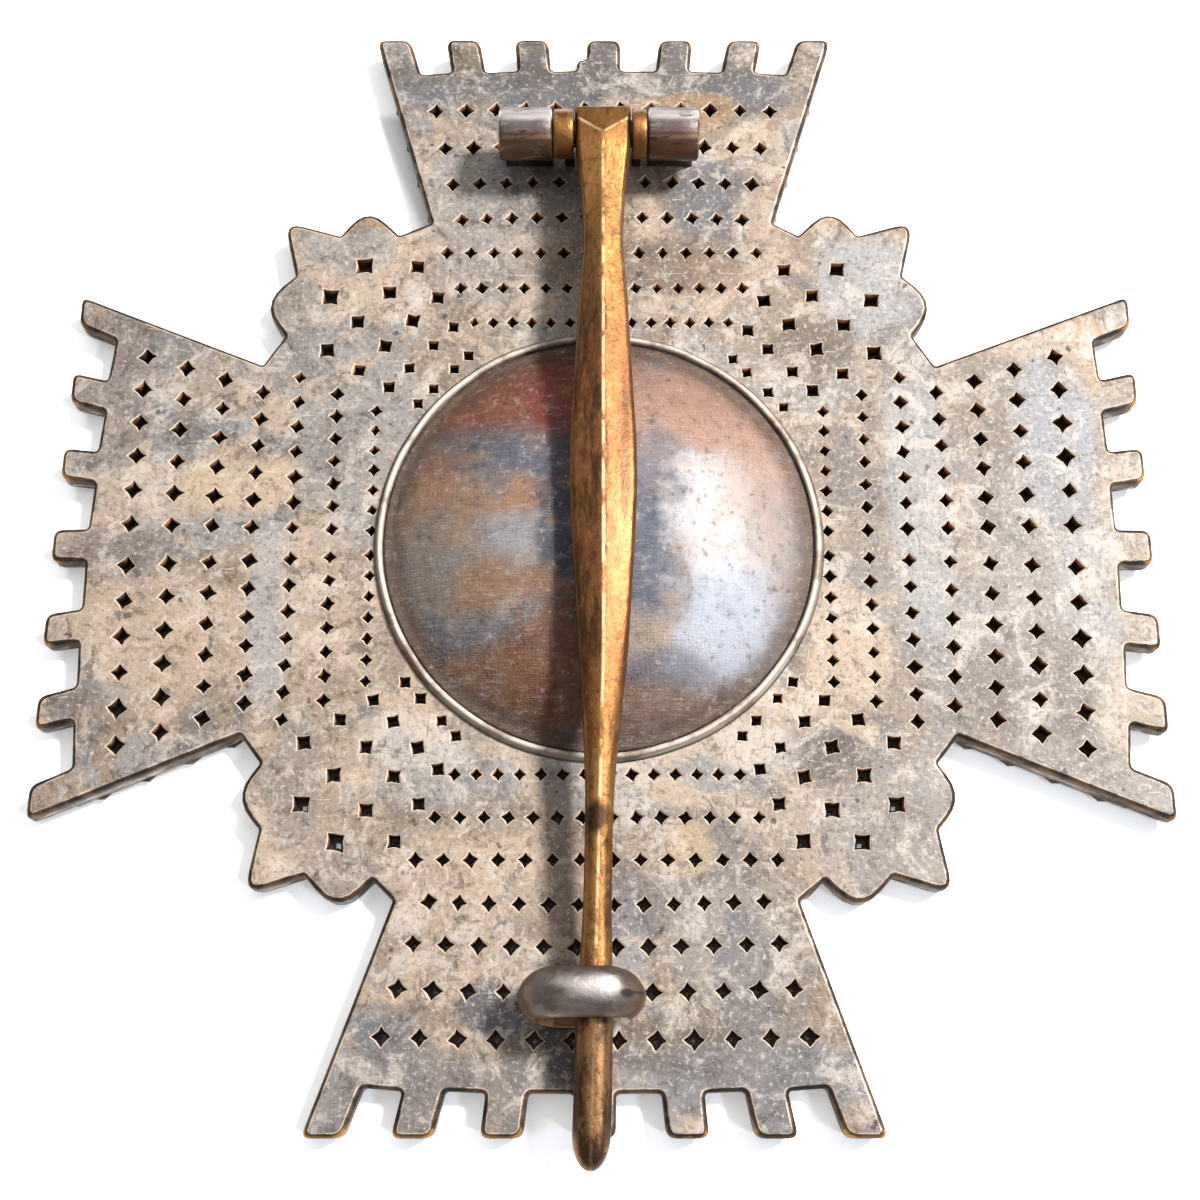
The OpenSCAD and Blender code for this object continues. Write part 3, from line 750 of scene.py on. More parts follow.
class Surface:
    # a small builder for one material's nodes
    def __init__(self, name, metallic, roughness):
        self.material = bpy.data.materials.new(name)
        self.material.use_nodes = True
        self.tree = self.material.node_tree
        self.shader = self.tree.nodes["Principled BSDF"]
        self.link(metallic, self.shader.inputs["Metallic"])
        self.link(roughness, self.shader.inputs["Roughness"])
        self.position = self.tree.nodes.new("ShaderNodeTexCoord").outputs["Object"]
        self.colour = None
        self.ragged = {}

    def link(self, value, socket):
        # value is another node's output, a number, a vector or a tone without its alpha
        if isinstance(value, bpy.types.NodeSocket):
            self.tree.links.new(value, socket)
        else:
            socket.default_value = (*value, 1) if socket.type == "RGBA" else value

    def add(self, kind, output, inputs, **settings):
        node = self.tree.nodes.new("ShaderNode" + kind)
        for key, value in settings.items():
            setattr(node, key, value)
        for key, value in inputs.items():
            self.link(value, node.inputs[key])
        return node.outputs[output]

    def mapped(self, scale, turn=0, offset=(0, 0, 0)):
        return self.add("Mapping", "Vector", {"Vector": self.position, "Scale": scale,
                                              "Rotation": (0, 0, turn), "Location": offset})

    def noise(self, scale, detail, rough, twist=0, stretch=(1, 1, 1), turn=0, offset=(0, 0, 0)):
        moved = (stretch, turn, offset) != ((1, 1, 1), 0, (0, 0, 0))
        vector = self.mapped(stretch, turn, offset) if moved else self.position
        return self.add("TexNoise", "Fac", {"Vector": vector, "Scale": scale, "Detail": detail,
                                            "Roughness": rough, "Distortion": twist})

    def remap(self, value, low, high, toLow=0.0, toHigh=1.0):
        return self.add("MapRange", "Result", {"Value": value, "From Min": low, "From Max": high,
                                               "To Min": toLow, "To Max": toHigh},
                        interpolation_type="SMOOTHSTEP")

    def math(self, operation, a, b=0.0, c=0.0):
        return self.add("Math", "Value", {0: a, 1: b, 2: c}, operation=operation)

    def both(self, a, b):
        return self.math("MULTIPLY", a, b)

    def minus(self, a, b):
        return self.math("SUBTRACT", a, b)

    def absolute(self, a):
        return self.math("ABSOLUTE", a)

    def mix(self, amount, a, b, mode="MIX"):
        return self.add("Mix", 2, {"Factor": amount, "A": a, "B": b}, data_type="RGBA",
                        blend_type=mode)

    def blend(self, value, low, high, first, second):
        # the first tone at low and the second at high
        return self.mix(self.remap(value, low, high), first, second)

    def lay(self, amount, tone, strength=1, mode="MIX"):
        # one more tone over the colour so far
        if strength != 1:
            amount = self.both(amount, strength)
        self.colour = self.mix(amount, self.colour, tone, mode)

    def coat(self, value, low, high, amount, tone):
        # nothing of the tone at low, and the full amount at high
        self.lay(self.remap(value, low, high, 0, amount), tone)

    def band(self, value, low, full, fade, high):
        # rises from low to full and falls again from fade to high
        return self.both(self.remap(value, low, full), self.remap(value, high, fade))

    def axis(self, name):
        # in mm, like every place in the materials
        return self.both(self.add("SeparateXYZ", name, {"Vector": self.position}), 1 / mm)

    def distance(self):
        # from the star's axis, in mm
        flat = self.mapped((1, 1, 0))
        return self.both(self.add("VectorMath", "Value", {0: flat}, operation="LENGTH"), 1 / mm)

    def patch(self, x, y, wide, long, soft, warp, scale):
        # 1 in the middle of a blotch at a place in mm, 0 outside, with a ragged edge
        flat = self.mapped((1 / (wide * mm), 1 / (long * mm), 0))
        apart = self.add("VectorMath", "Value", {0: flat, 1: (x / wide, y / long, 0)},
                         operation="DISTANCE")
        if scale not in self.ragged:
            self.ragged[scale] = self.noise(scale, 5, 0.65)
        edge = self.math("MULTIPLY_ADD", self.ragged[scale], warp, -warp / 2)
        return self.remap(self.math("ADD", apart, edge), 1 + soft / 2, 1 - soft / 2)

    def stainsAndPaintedLight(self, rows, soft, warp, scale):
        # rows of x, y, width, length, tone and strength, for stains and for painted highlights and
        # shadows
        for x, y, wide, long, tone, strength in rows:
            self.lay(self.patch(x, y, wide, long, soft, warp, scale), tone, strength)

    def attribute(self, name):
        return self.add("Attribute", "Fac", {}, attribute_name=name)

    def bump(self, height, strength, distance, normal=None):
        inputs = {"Height": height, "Strength": strength, "Distance": distance * mm}
        if normal:
            inputs["Normal"] = normal
        return self.add("Bump", "Normal", inputs)

    def finish(self, roughness=None, normal=None, metallic=None):
        for value, name in ((self.colour, "Base Color"), (roughness, "Roughness"),
                            (normal, "Normal"), (metallic, "Metallic")):
            if value is not None:
                self.link(value, self.shader.inputs[name])
        return self.material


beige = (0.175, 0.127, 0.09)
silverGrey = (0.175, 0.156, 0.142)
slate = (0.066, 0.067, 0.075)
cream = (0.30, 0.22, 0.152)
ochre = (0.23, 0.13, 0.048)
umber = (0.042, 0.028, 0.019)
soot = (0.02, 0.016, 0.014)
white = (0.41, 0.355, 0.305)
pale = (0.215, 0.21, 0.208)
shade = (0.13, 0.105, 0.086)
# x, y, width and length in mm, tone and strength of the stains on the plate, and of the painted shadow
# beside the catch
plateStainsAndShadow = [
    (33, 0, 15, 24, shade, 0.5), (0, 41, 18, 4, shade, 0.7), (14, -30, 9, 14, shade, 0.4),
    (0, 39.5, 18, 3.4, slate, 0.85), (7, 37.6, 4.5, 2, ochre, 0.75), (2, 37.5, 3, 2, cream, 0.6),
    (-12, 42.5, 3, 1.6, ochre, 0.6), (14, 42.8, 2.4, 1.4, ochre, 0.6), (-10, 36.5, 3, 2.4, beige, 0.6),
    (9.5, 29, 4, 4, slate, 0.8), (-11.5, 29.5, 3, 5, silverGrey, 0.7), (0.5, 23.5, 10, 2.2, umber, 0.5),
    (13, 27, 2.2, 4, cream, 0.6), (-4, 28.5, 5, 2.4, umber, 0.45),
    (9, 23.5, 3, 3, (0.14, 0.085, 0.05), 0.6), (-9, 23, 3, 4, silverGrey, 0.6),
    (-20.5, 25.5, 3.8, 3, silverGrey, 0.85), (-21.8, 27.6, 2.2, 1.6, ochre, 0.6),
    (-17.3, 28.2, 2.2, 1.4, ochre, 0.75), (-17.5, 20.5, 3, 1.8, cream, 0.6),
    (-24.5, 19.5, 3, 3, slate, 0.5), (22.5, 26.5, 3, 2, ochre, 0.55),
    (18.6, 27.8, 2.4, 1.4, ochre, 0.6), (22, 22, 4.5, 4.5, pale, 0.8), (17, 16.5, 3, 3, umber, 0.55),
    (25, 3, 2.6, 12, pale, 0.7), (37, 12, 4, 5, pale, 0.5), (39, 15.5, 2.6, 3, ochre, 0.6),
    (35, 2, 3.6, 6, silverGrey, 0.6), (31, -6, 5, 5, silverGrey, 0.7),
    (28.5, -13, 5, 3, (0.13, 0.11, 0.095), 0.5), (20, -9, 2.6, 4, cream, 0.7),
    (34, 17, 6, 1.6, cream, 0.6), (40, -13, 2.6, 4, cream, 0.5), (38, -4, 2.6, 5, pale, 0.6),
    (-38.5, 12, 3, 7, (0.14, 0.115, 0.105), 0.75), (-30, 13.5, 4.5, 2.6, cream, 0.45),
    (-37, -1, 4.5, 2.2, (0.12, 0.09, 0.08), 0.7), (-34, 4, 6, 2.4, cream, 0.6),
    (-33, -8, 7, 5, cream, 0.7), (-25, -5, 1.9, 7, pale, 0.7),
    (-28, 5, 4.5, 3, (0.36, 0.25, 0.145), 0.6), (-26, 14.5, 3, 2, slate, 0.45),
    (-21.5, -4, 3, 7, cream, 0.6), (-20.5, 8, 2.5, 3, (0.13, 0.11, 0.1), 0.6),
    (-25.5, -23.5, 3.2, 3.2, cream, 0.7), (-22.5, -19, 2, 4.5, slate, 0.7),
    (-18.5, -25, 2.8, 2.6, slate, 0.55), (-14, -15.5, 4, 2, white, 0.4),
    (22, -22, 6, 5, silverGrey, 0.6), (17, -17, 3.6, 2.4, umber, 0.5), (12, -16.5, 3, 2, white, 0.4),
    (-9.5, -26, 6, 4, cream, 0.5), (6.5, -23.5, 2, 2.2, (0.3, 0.21, 0.12), 0.7),
    # the second row here, at (-4, -38.4), is painted shadow below the catch
    (9, -30, 5, 3.5, silverGrey, 0.5), (-4, -38.4, 3.2, 3, (0.035, 0.026, 0.02), 0.85),
    (5.5, -37.5, 4.5, 2.2, umber, 0.7), (-12, -41, 9, 3, (0.12, 0.1, 0.092), 0.75),
    # the second row here, at (-7.4, -35), is painted shadow left of the catch
    (-16, -36.5, 2.6, 2, slate, 0.5), (-7.4, -35, 2.6, 2, (0.038, 0.04, 0.048), 0.9),
    (12, -40, 8, 3.4, (0.1, 0.095, 0.1), 0.75), (10.5, -33, 2.2, 5, slate, 0.55),
    (17, -35, 2, 3, ochre, 0.35), (24, -24, 5, 5, shade, 0.5),
    (0, 42.4, 20, 2.6, (0.065, 0.056, 0.052), 0.65), (-22, -21, 7, 7, cream, 0.35),
    (-7, 31, 7, 6, silverGrey, 0.4), (36, 8, 3, 7, (0.17, 0.175, 0.19), 0.6),
    (41, 3, 2, 14, (0.22, 0.17, 0.125), 0.55), (33, -11, 5, 4, (0.1, 0.082, 0.068), 0.65),
    (-12.7, 9.2, 1.6, 3.2, soot, 0.5), (-9.3, -14.6, 2.4, 1.2, soot, 0.35),
]


def tarnishedSilver():
    s = Surface("tarnishedSilver", 0.3, 0.45)
    cloudy = s.noise(60, 5, 0.62, 1.0)
    fine = s.noise(640, 4, 0.72, 0.6)
    grain = s.noise(2500, 2, 0.75)
    s.colour = s.blend(cloudy, 0.47, 0.54, beige, silverGrey)
    cool = s.noise(75, 5, 0.64, 1.2, offset=(3, 5, 0))
    s.coat(cool, 0.54, 0.6, 0.6, slate)
    warm = s.noise(95, 5, 0.66, 1.2, offset=(9, 2, 0))
    s.coat(warm, 0.5, 0.56, 0.75, cream)
    s.stainsAndPaintedLight(plateStainsAndShadow, 0.5, 1.25, 130)
    light = s.noise(260, 4, 0.72, 0.8, offset=(4, 1, 0))
    s.coat(light, 0.512, 0.64, 0.45, white)
    brown = s.noise(210, 4, 0.74, 0.8, offset=(1, 7, 0))
    s.coat(brown, 0.545, 0.7, 0.5, umber)
    s.coat(fine, 0.488, 0.325, 0.7, umber)
    s.coat(fine, 0.544, 0.695, 0.5, white)
    s.coat(grain, 0.55, 0.72, 0.55, white)
    s.coat(grain, 0.463, 0.28, 0.65, umber)
    # thin pale curls, the contour lines of a twisted noise
    curls = s.absolute(s.minus(s.noise(330, 3, 0.6, 2.6), 0.5))
    s.lay(s.both(s.remap(curls, 0.02, 0.004, 0, 0.4), s.remap(light, 0.5, 0.6)), white)
    scratchA = s.noise(430, 2, 0.7, 0.6, (1, 9, 1), 0.7)
    scratchB = s.noise(430, 2, 0.7, 0.6, (9, 1, 1), 0.3)
    s.coat(scratchA, 0.65, 0.74, 0.5, white)
    s.coat(scratchB, 0.65, 0.74, 0.45, umber)
    s.coat(s.noise(760, 2, 0.5), 0.7, 0.75, 0.8, soot)
    # rim: 0 on the flats, 1 on the rounded edges and outer walls, up to 2 at worn corners, -1 in holes
    rim = s.attribute("rim")
    streaks = s.noise(620, 3, 0.65)
    bronze = s.blend(streaks, 0.42, 0.62, (0.018, 0.011, 0.008), (0.09, 0.05, 0.026))
    s.coat(rim, 0.35, 0.7, 0.95, bronze)
    burnished = s.both(s.band(rim, 0.1, 0.3, 0.45, 0.8), s.remap(streaks, 0.4, 0.6, 0.1, 0.75))
    s.lay(burnished, (0.5, 0.40, 0.31))
    high = s.axis("Z")
    corner = s.both(s.remap(rim, 1.35, 1.8), s.remap(high, 1.9, 2.6, 0.2, 1.0))
    s.lay(s.both(corner, s.remap(streaks, 0.38, 0.56, 0.1, 0.9)), (0.36, 0.175, 0.045))
    hollow = s.remap(rim, -0.35, -0.9)
    s.lay(hollow, (0.48, 0.39, 0.30), 0.8)
    inside = s.blend(s.noise(330, 3, 0.6), 0.42, 0.6, (0.09, 0.042, 0.02), (0.55, 0.25, 0.10))
    # the far end of each hole stays dark, where it opens on the hidden front
    inside = s.blend(high, 0.7, 0.95, (0.05, 0.034, 0.025), inside)
    s.lay(s.both(hollow, s.remap(high, 2.76, 2.64)), inside)
    # the ledge inside each hole, where it narrows to the front
    ledge = s.both(s.band(high, 0.75, 0.9, 2.2, 2.3), s.remap(rim, 0.5, 0.2))
    s.lay(ledge, (0.055, 0.03, 0.018))
    rough = s.remap(fine, 0.35, 0.65, 0.5, 0.7)
    metallic = s.remap(rim, 0.2, 0.6, 0.25, 0.75)
    normal = s.bump(s.noise(300, 3, 0.6), 0.35, 0.2)
    normal = s.bump(fine, 0.6, 0.12, normal)
    normal = s.bump(grain, 0.5, 0.04, normal)
    return s.finish(rough, normal, metallic)


def brightSilver():
    s = Surface("brightSilver", 0.15, 0.5)
    spots = s.noise(420, 5, 0.65)
    s.colour = s.blend(spots, 0.38, 0.54, (0.21, 0.155, 0.115), (0.43, 0.365, 0.30))
    inner = s.distance()
    s.coat(inner, 16.62, 16.54, 0.8, umber)
    s.coat(inner, 17.1, 17.2, 0.5, umber)
    normal = s.bump(s.noise(900, 4, 0.6), 0.4, 0.08)
    return s.finish(s.remap(spots, 0.3, 0.7, 0.58, 0.45), normal)


# the same for the colours on the dome, among them painted highlights and a painted shadow of the pin
domeStainsAndLight = [
    (-6, 11.5, 11, 5, (0.15, 0.045, 0.023), 0.95), (9, 10, 9, 6.5, (0.31, 0.18, 0.13), 0.9),
    # the first row here, at (-3, 9), is dark red tarnish that is also painted shadow of the pin
    (-3, 9, 1.9, 7, (0.13, 0.015, 0.006), 0.85), (-10, 6.3, 7, 2.2, (0.078, 0.07, 0.076), 0.85),
    (-5.5, 4, 4, 3.2, (0.07, 0.072, 0.092), 0.85), (-11.5, 1.5, 4.5, 3.4, (0.2, 0.115, 0.058), 0.8),
    (-5.5, 2.2, 2.2, 1.3, (0.26, 0.115, 0.04), 0.6), (-12.5, 5, 2, 2, (0.22, 0.1, 0.045), 0.5),
    # the second row here, at (-3, -2), is painted shadow of the pin, left of it
    (-5.8, -0.6, 3.6, 1.6, (0.19, 0.185, 0.195), 0.65), (-3, -2, 1.6, 9, (0.03, 0.032, 0.044), 0.9),
    (-9, -4.6, 6, 2, (0.18, 0.095, 0.045), 0.75), (-13, -3, 2.4, 4, (0.13, 0.125, 0.12), 0.65),
    (-9.5, -8.4, 6, 1.6, (0.075, 0.075, 0.086), 0.8), (-8, -11, 4.5, 2.2, (0.125, 0.052, 0.022), 0.85),
    (-3.5, -9.5, 3, 4, (0.11, 0.04, 0.017), 0.85), (-2, -13.5, 5, 1.8, (0.1, 0.042, 0.017), 0.85),
    (4.5, 3.5, 3.2, 4, (0.11, 0.115, 0.135), 0.75), (3.8, -3, 2.2, 5, (0.055, 0.065, 0.09), 0.85),
    # both rows here, at (11, -2.5) and (8.8, 0.6), are a painted highlight and the glow around it
    (11, -2.5, 5, 8.5, (0.29, 0.25, 0.235), 0.55), (8.8, 0.6, 3.2, 4.8, (0.42, 0.4, 0.39), 0.8),
    (6, -8.5, 5, 1.8, (0.25, 0.18, 0.115), 0.7), (5, -12.5, 6, 2.2, (0.13, 0.08, 0.055), 0.8),
    # the first row here, at (9.6, -7.4), is a painted bluish highlight, a painted reflection of the
    # cool lamp
    (9.6, -7.4, 4, 4, (0.32, 0.35, 0.41), 0.75), (4.5, -10.5, 3.6, 1.3, (0.085, 0.09, 0.115), 0.6),
    (12, 4, 2.4, 5, (0.28, 0.19, 0.15), 0.5),
]


def tonedDome():
    s = Surface("tonedDome", 0.55, 0.42)
    clouds = s.noise(150, 6, 0.7)
    s.colour = s.blend(clouds, 0.4, 0.6, (0.075, 0.058, 0.05), (0.175, 0.15, 0.132))
    s.stainsAndPaintedLight(domeStainsAndLight, 0.9, 2.4, 290)
    mottled = s.noise(430, 7, 0.78, 0, (1, 1.6, 1), 0.4)
    s.coat(mottled, 0.52, 0.66, 0.45, (0.26, 0.16, 0.095))
    dark = s.both(s.remap(mottled, 0.47, 0.36), s.remap(s.axis("X"), 3, 7, 0.4, 0.15))
    s.lay(dark, (0.035, 0.028, 0.03))
    s.coat(s.distance(), 14.2, 16.2, 0.85, (0.075, 0.045, 0.03))
    fine = s.noise(1300, 6, 0.78)
    s.coat(fine, 0.54, 0.68, 0.5, (0.36, 0.32, 0.29))
    s.coat(fine, 0.47, 0.34, 0.55, (0.024, 0.017, 0.015))
    scratchA = s.noise(760, 6, 0.8, 0, (1, 8, 1), 0.25)
    scratchB = s.noise(760, 6, 0.8, 0, (8, 1, 1), -0.2)
    s.coat(scratchA, 0.55, 0.68, 0.4, (0.38, 0.35, 0.33))
    s.coat(scratchB, 0.55, 0.68, 0.4, (0.035, 0.025, 0.022))
    rough = s.remap(fine, 0.35, 0.65, 0.28, 0.42)
    normal = s.bump(s.noise(260, 4, 0.6), 0.3, 0.12)
    normal = s.bump(s.math("ADD", scratchA, scratchB), 0.7, 0.1, normal)
    normal = s.bump(fine, 0.6, 0.08, normal)
    return s.finish(rough, normal)


def fittingSilver():
    s = Surface("fittingSilver", 0.8, 0.34)
    clouds = s.noise(300, 6, 0.68, 0, (0.4, 1, 1))
    s.colour = s.blend(clouds, 0.4, 0.6, (0.14, 0.11, 0.098), (0.27, 0.245, 0.235))
    # painted light: a bright painted highlight band in the upper third, a dusky painted reflection
    # below it,
    # painted shade along the top edge, and brown underneath, a painted reflection of the plate, with
    # one pale line
    across = s.minus(s.axis("Y"), hinge["y"])
    s.lay(s.band(across, 0.0, 0.5, 0.8, 1.3), (0.70, 0.635, 0.605), 0.8)
    s.coat(across, 1.0, 1.6, 0.85, (0.08, 0.055, 0.045))
    s.lay(s.band(across, -1.0, -0.6, -0.2, 0.2), (0.06, 0.045, 0.047), 0.85)
    s.coat(across, -0.7, -1.0, 0.95, (0.125, 0.062, 0.034))
    s.lay(s.band(across, -1.45, -1.3, -1.2, -1.05), (0.28, 0.19, 0.15), 0.5)
    high = s.axis("Z")
    # painted shadow: the foot under the tube near black, fading to brown towards the plate
    s.coat(high, 5.2, 4.6, 0.95, (0.022, 0.016, 0.012))
    s.coat(high, 4.2, 3.0, 0.9, (0.11, 0.078, 0.058))
    streaks = s.noise(800, 5, 0.72, 0, (0.3, 1, 1))
    s.coat(streaks, 0.56, 0.64, 0.85, (0.04, 0.028, 0.022))
    s.coat(streaks, 0.45, 0.33, 0.45, (0.52, 0.455, 0.415))
    normal = s.bump(s.noise(520, 5, 0.65), 0.5, 0.16)
    return s.finish(s.remap(clouds, 0.3, 0.7, 0.42, 0.28), normal)


def rodSteel():
    s = Surface("rodSteel", 0.6, 0.5)
    s.colour = s.blend(s.noise(600, 4, 0.6), 0.4, 0.6, soot, umber)
    return s.finish()


def catchSteel():
    s = Surface("catchSteel", 0.75, 0.42)
    clouds = s.noise(330, 6, 0.7, 0.6, (0.6, 1.3, 1))
    s.colour = s.blend(clouds, 0.4, 0.6, (0.07, 0.053, 0.044), (0.165, 0.142, 0.13))
    # a painted highlight a little right of the band's middle
    s.stainsAndPaintedLight([(-0.2, -33.9, 1.5, 0.8, (0.37, 0.335, 0.315), 0.75)], 1.1, 1.4, 400)
    across = s.absolute(s.minus(s.axis("X"), catch["x"]))
    s.coat(across, 2.0, 4.2, 0.85, (0.095, 0.055, 0.034))
    along = s.absolute(s.math("ADD", s.axis("Y"), 34.1))
    s.coat(along, 0.95, 1.75, 0.85, (0.09, 0.055, 0.036))
    # the pit on the left, and on the right painted shade where the hook's end leaves a dark gap, with
    # the slit that leads out of it
    s.stainsAndPaintedLight([(-3.2, -34.1, 0.7, 0.35, soot, 0.6)], 0.9, 0.9, 500)
    s.stainsAndPaintedLight([(1.9, -34.3, 0.45, 0.28, soot, 0.9)], 0.9, 0.8, 500)
    s.stainsAndPaintedLight([(2.9, -34.25, 0.8, 0.1, soot, 0.8)], 0.8, 0.4, 500)
    s.coat(s.axis("Z"), 7.4, 6.6, 0.85, (0.24, 0.12, 0.05))
    streaks = s.noise(700, 5, 0.72, 0, (0.35, 1, 1))
    s.coat(streaks, 0.58, 0.68, 0.6, umber)
    s.coat(streaks, 0.43, 0.3, 0.5, white)
    normal = s.bump(s.noise(420, 5, 0.65), 0.55, 0.2)
    return s.finish(s.remap(clouds, 0.3, 0.7, 0.54, 0.41), normal)


def wornGilt(name, base, dark, streak):
    s = Surface(name, 0.85, 0.4)
    clouds = s.noise(260, 6, 0.68, 0, (1, 0.35, 1))
    s.colour = s.blend(clouds, 0.4, 0.6, base, (base[0] * 0.62, base[1] * 0.56, base[2] * 0.5))
    brown = s.noise(520, 6, 0.78, 0, (1, 0.2, 1), offset=(2, 0, 0))
    s.coat(brown, 0.52, 0.62, streak, dark)
    grain = s.noise(1900, 4, 0.75, 0, (1, 0.7, 1))
    s.coat(grain, 0.56, 0.7, 0.55, (0.50, 0.32, 0.125))
    s.coat(grain, 0.45, 0.3, 0.6, dark)
    normal = s.bump(s.noise(420, 5, 0.7, 0, (1, 0.4, 1)), 0.55, 0.16)
    normal = s.bump(grain, 0.5, 0.06, normal)
    return s, s.remap(clouds, 0.3, 0.7, 0.46, 0.34), normal


def giltPin():
    s, rough, normal = wornGilt("giltPin", (0.285, 0.13, 0.037), (0.04, 0.018, 0.006), 0.85)
    x, y = s.axis("X"), s.axis("Y")
    # distance from the ridge, which leans to the left below the middle
    share = s.both(s.minus(hinge["y"], y), 1 / pin["length"])
    lean = s.math("MAXIMUM", s.minus(share, pin["driftFrom"]), 0.0)
    lean = s.both(lean, pin["drift"] / (1 - pin["driftFrom"]))
    aside = s.math("ADD", s.minus(x, pin["x"]), lean)
    # painted shade: the left side of the ridge darker, from the middle of the pin up to the head
    left = s.both(s.remap(aside, 0.05, -0.25), s.remap(y, -18, -6))
    s.lay(left, (0.16, 0.075, 0.024), 0.45)
    right = s.both(s.remap(aside, 0.15, 0.4), s.band(y, -22, -12, 14, 24))
    s.lay(right, (0.17, 0.072, 0.022), 0.6)
    rubbed = s.noise(1000, 7, 0.8, 0, (1, 0.18, 1), offset=(8, 1, 0))
    rubbed = s.both(s.remap(rubbed, 0.5, 0.62), right)
    s.lay(rubbed, (0.10, 0.042, 0.013), 0.6)
    flaked = s.noise(820, 8, 0.8, 0, (1, 0.22, 1), offset=(5, 3, 0))
    flaked = s.both(s.remap(flaked, 0.46, 0.6), s.remap(y, 27, 20, 0.3, 0.85))
    # dark flakes of worn gilding, laid only inside the painted shade of the left side
    s.lay(s.both(left, flaked), (0.045, 0.022, 0.009))
    # painted shade along both sides of the round lower shank
    outer = s.both(s.remap(s.absolute(aside), 0.45, 0.85), s.remap(y, -12, -20, 0, 0.4))
    s.lay(outer, (0.12, 0.052, 0.015))
    s.lay(s.band(y, -17, -9, 13, 21), (0.68, 0.6, 0.62), mode="MULTIPLY")
    patina = s.noise(480, 6, 0.76, 0, (1, 0.4, 1))
    bronze = s.blend(patina, 0.45, 0.58, (0.026, 0.015, 0.01), (0.165, 0.09, 0.038))
    s.coat(y, -33, -36.0, 0.85, bronze)
    # the hip at the back of the head, darkened with painted shade, and a bright worn edge along it
    spread = s.both(s.minus(y, hinge["y"] + pin["hipFrom"]), 1.35)
    fromHip = s.minus(s.absolute(aside), spread)
    s.coat(fromHip, 0.1, -0.1, 0.45, (0.17, 0.077, 0.02))
    nearHead = s.both(s.remap(y, 19, 25), s.remap(fromHip, -0.1, 0.1))
    s.lay(nearHead, (0.18, 0.083, 0.024), 0.5)
    crackle = s.noise(1300, 6, 0.8)
    s.coat(crackle, 0.48, 0.38, 0.6, (0.05, 0.024, 0.009))
    broken = s.remap(s.noise(500, 3, 0.6), 0.38, 0.52, 0.1, 0.8)
    hipLine = s.both(s.remap(s.absolute(fromHip), 0.3, 0.03), s.remap(y, 32.0, 32.3))
    # the ridge line: worn gilding on the faceted upper pin, and a painted highlight where it runs on
    # down the round shank
    ridgeWearAndHighlight = s.both(s.remap(s.absolute(aside), 0.17, 0.04), s.remap(y, 32.3, 32.0))
    ridgeWearAndHighlight = s.both(ridgeWearAndHighlight, s.remap(y, -34, -31, 0.15, 1.0))
    wornLinesAndHighlight = s.both(s.math("MAXIMUM", hipLine, ridgeWearAndHighlight), broken)
    s.lay(wornLinesAndHighlight, (0.66, 0.46, 0.25))
    scar = (0.03, 0.015, 0.008)
    s.stainsAndPaintedLight([(-0.25, -22.2, 0.9, 1.15, scar, 0.95), (2.0, 5.0, 0.35, 7.0, scar, 0.6),
              (-0.9, 19.0, 0.7, 5.0, scar, 0.4)], 0.7, 0.9, 600)
    return s.finish(rough, normal)


def giltCollar():
    s, rough, normal = wornGilt("giltCollar", (0.30, 0.14, 0.046), (0.06, 0.025, 0.01), 0.7)
    high = s.axis("Z")
    across = s.minus(s.axis("Y"), hinge["y"])
    # painted shade: darker on the lower side and along the top edge, and near black on the leg below
    # the tube
    s.coat(across, 0.2, -0.4, 0.6, (0.17, 0.075, 0.016))
    s.coat(across, 1.1, 1.7, 0.7, (0.07, 0.03, 0.012))
    s.coat(high, 5.2, 4.5, 0.9, (0.035, 0.02, 0.012))
    return s.finish(rough, normal)


# Camera, light and floor

view = {"lens": 54.44, "shiftX": 0.0009, "shiftY": -0.0491, "y": -43.06, "z": 136.0, "tilt": 0.312671}
studio = {
    "sky": 0.27, "floorTone": (0.97, 0.97, 0.97), "floorGlow": 0.3,
    # where the floor's glow begins, in mm: under the arms' ends, between the arms, outside a circle
    "glowBeyond": 38.4, "glowBetween": 3, "glowOutside": 28.5, "glowSlope": 0.4,
    # name, place, size in metres, power and colour
    "lights": [("key", (0.355, 0.19, 0.56), 0.12, 10.6, (1, 1, 1)),
               ("top", (0.0, 0.3, 0.9), 1.2, 5.0, (1, 1, 1)),
               ("cool", (0.35, -0.25, 0.48), 0.08, 1.2, (0.75, 0.86, 1.0))],
}


def makeCamera():
    data = bpy.data.cameras.new("photoCamera")
    data.sensor_width = 36
    data.lens = view["lens"]
    data.shift_x = view["shiftX"]
    data.shift_y = view["shiftY"]
    data.clip_start = 0.005
    camera = addObject("photoCamera", data)
    camera.location = (0, view["y"] * mm, view["z"] * mm)
    camera.rotation_euler = (view["tilt"], 0, 0)
    bpy.context.scene.camera = camera


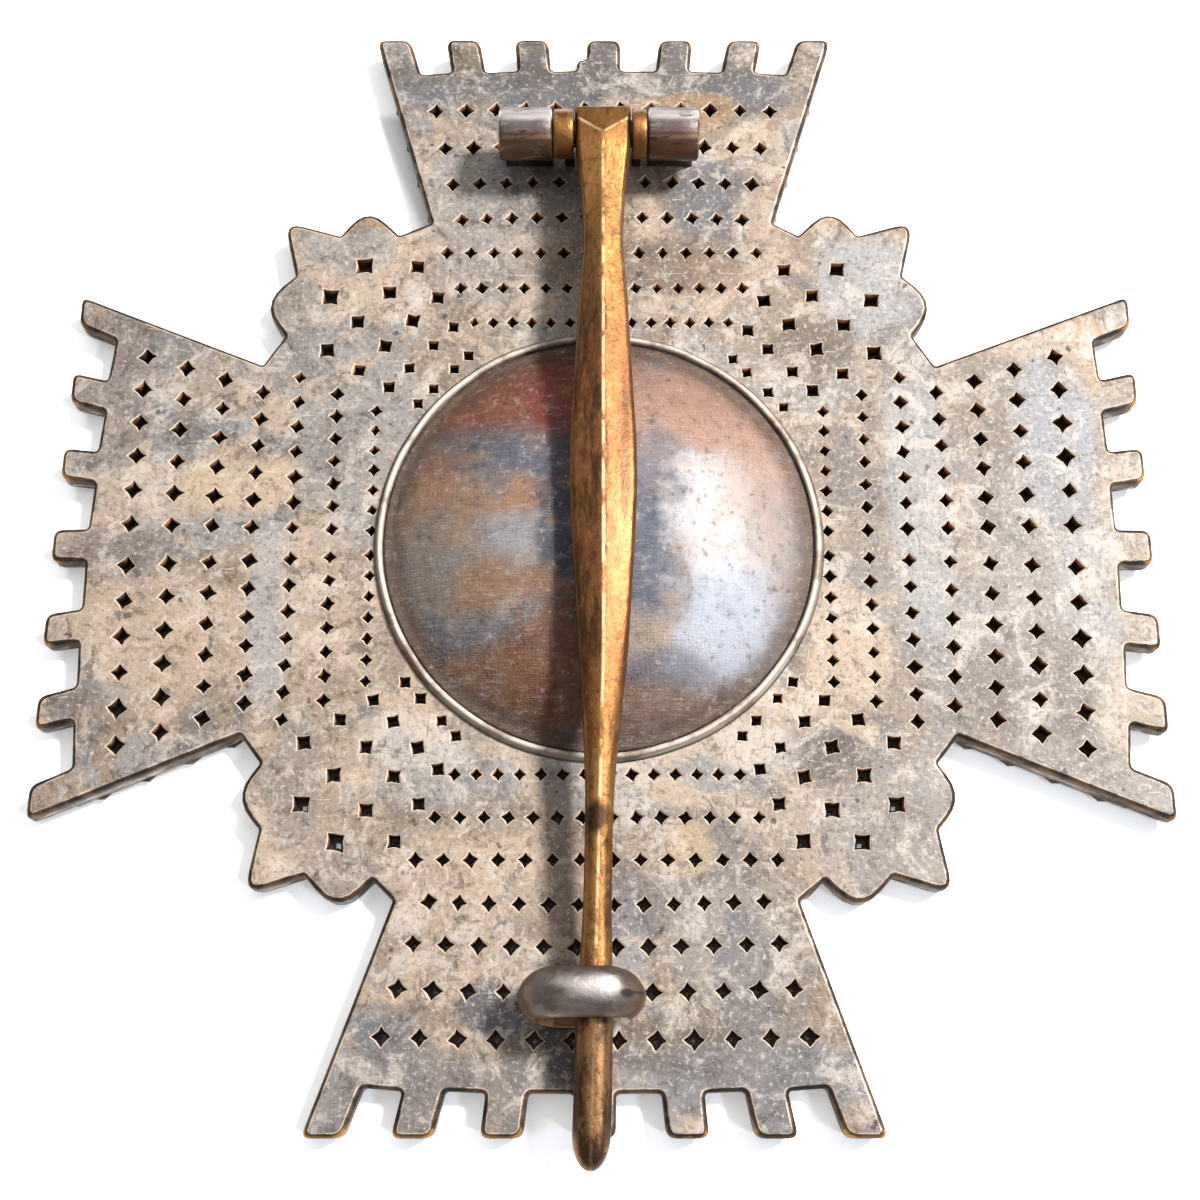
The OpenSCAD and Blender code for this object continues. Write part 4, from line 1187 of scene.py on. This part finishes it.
def makeLights():
    for name, place, size, power, colour in studio["lights"]:
        data = bpy.data.lights.new(name, "AREA")
        data.shape = "DISK"
        data.size = size
        data.energy = power
        data.color = colour
        light = addObject(name, data)
        light.location = place
        light.rotation_euler = (-Vector(place)).to_track_quat("-Z", "Y").to_euler()
    world = bpy.data.worlds.new("studio")
    bpy.context.scene.world = world
    world.use_nodes = True
    background = world.node_tree.nodes["Background"]
    background.inputs["Color"].default_value = (1, 1, 1, 1)
    background.inputs["Strength"].default_value = studio["sky"]
    bpy.context.scene.view_settings.view_transform = "Standard"


def whiteFloor():
    s = Surface("floorWhite", 0.0, 0.8)
    s.colour = studio["floorTone"]
    # a faint glow around the star keeps its shadow pale; there is none below the arms
    x, y = s.absolute(s.axis("X")), s.absolute(s.axis("Y"))
    beyond, between, radius = (studio[key] for key in ("glowBeyond", "glowBetween", "glowOutside"))
    slopeX = s.minus(x, s.both(y, studio["glowSlope"]))
    slopeY = s.minus(y, s.both(x, studio["glowSlope"]))
    outside = s.math("MAXIMUM", s.remap(s.math("MAXIMUM", x, y), beyond, beyond + 1),
                     s.remap(s.math("MINIMUM", slopeX, slopeY), between, between + 1))
    outside = s.both(outside, s.remap(s.distance(), radius, radius + 2))
    s.link(s.both(outside, studio["floorGlow"]), s.shader.inputs["Emission Strength"])
    s.link((1, 1, 1), s.shader.inputs["Emission Color"])
    return s.finish()


def makeFloor():
    bm = bmesh.new()
    bmesh.ops.create_grid(bm, x_segments=1, y_segments=1, size=2.0)
    bmesh.ops.translate(bm, verts=bm.verts, vec=(0, 0, cadBounds[0][2]))
    floor = meshObject("floor", bm)
    floor.data.materials.append(whiteFloor())


makeCamera()
makeLights()
makeFloor()
print("stage ready")
silver = tarnishedSilver()
makePlate(silver)
makeDome(tonedDome())
makeRing(brightSilver())
makeHinge(fittingSilver(), giltCollar())
makePin(giltPin())
makeCatch(catchSteel())
makeMedallion(silver)
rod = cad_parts["hinge_rod"]
rod.data.materials.clear()
rod.data.materials.append(rodSteel())
print("pieces ready")
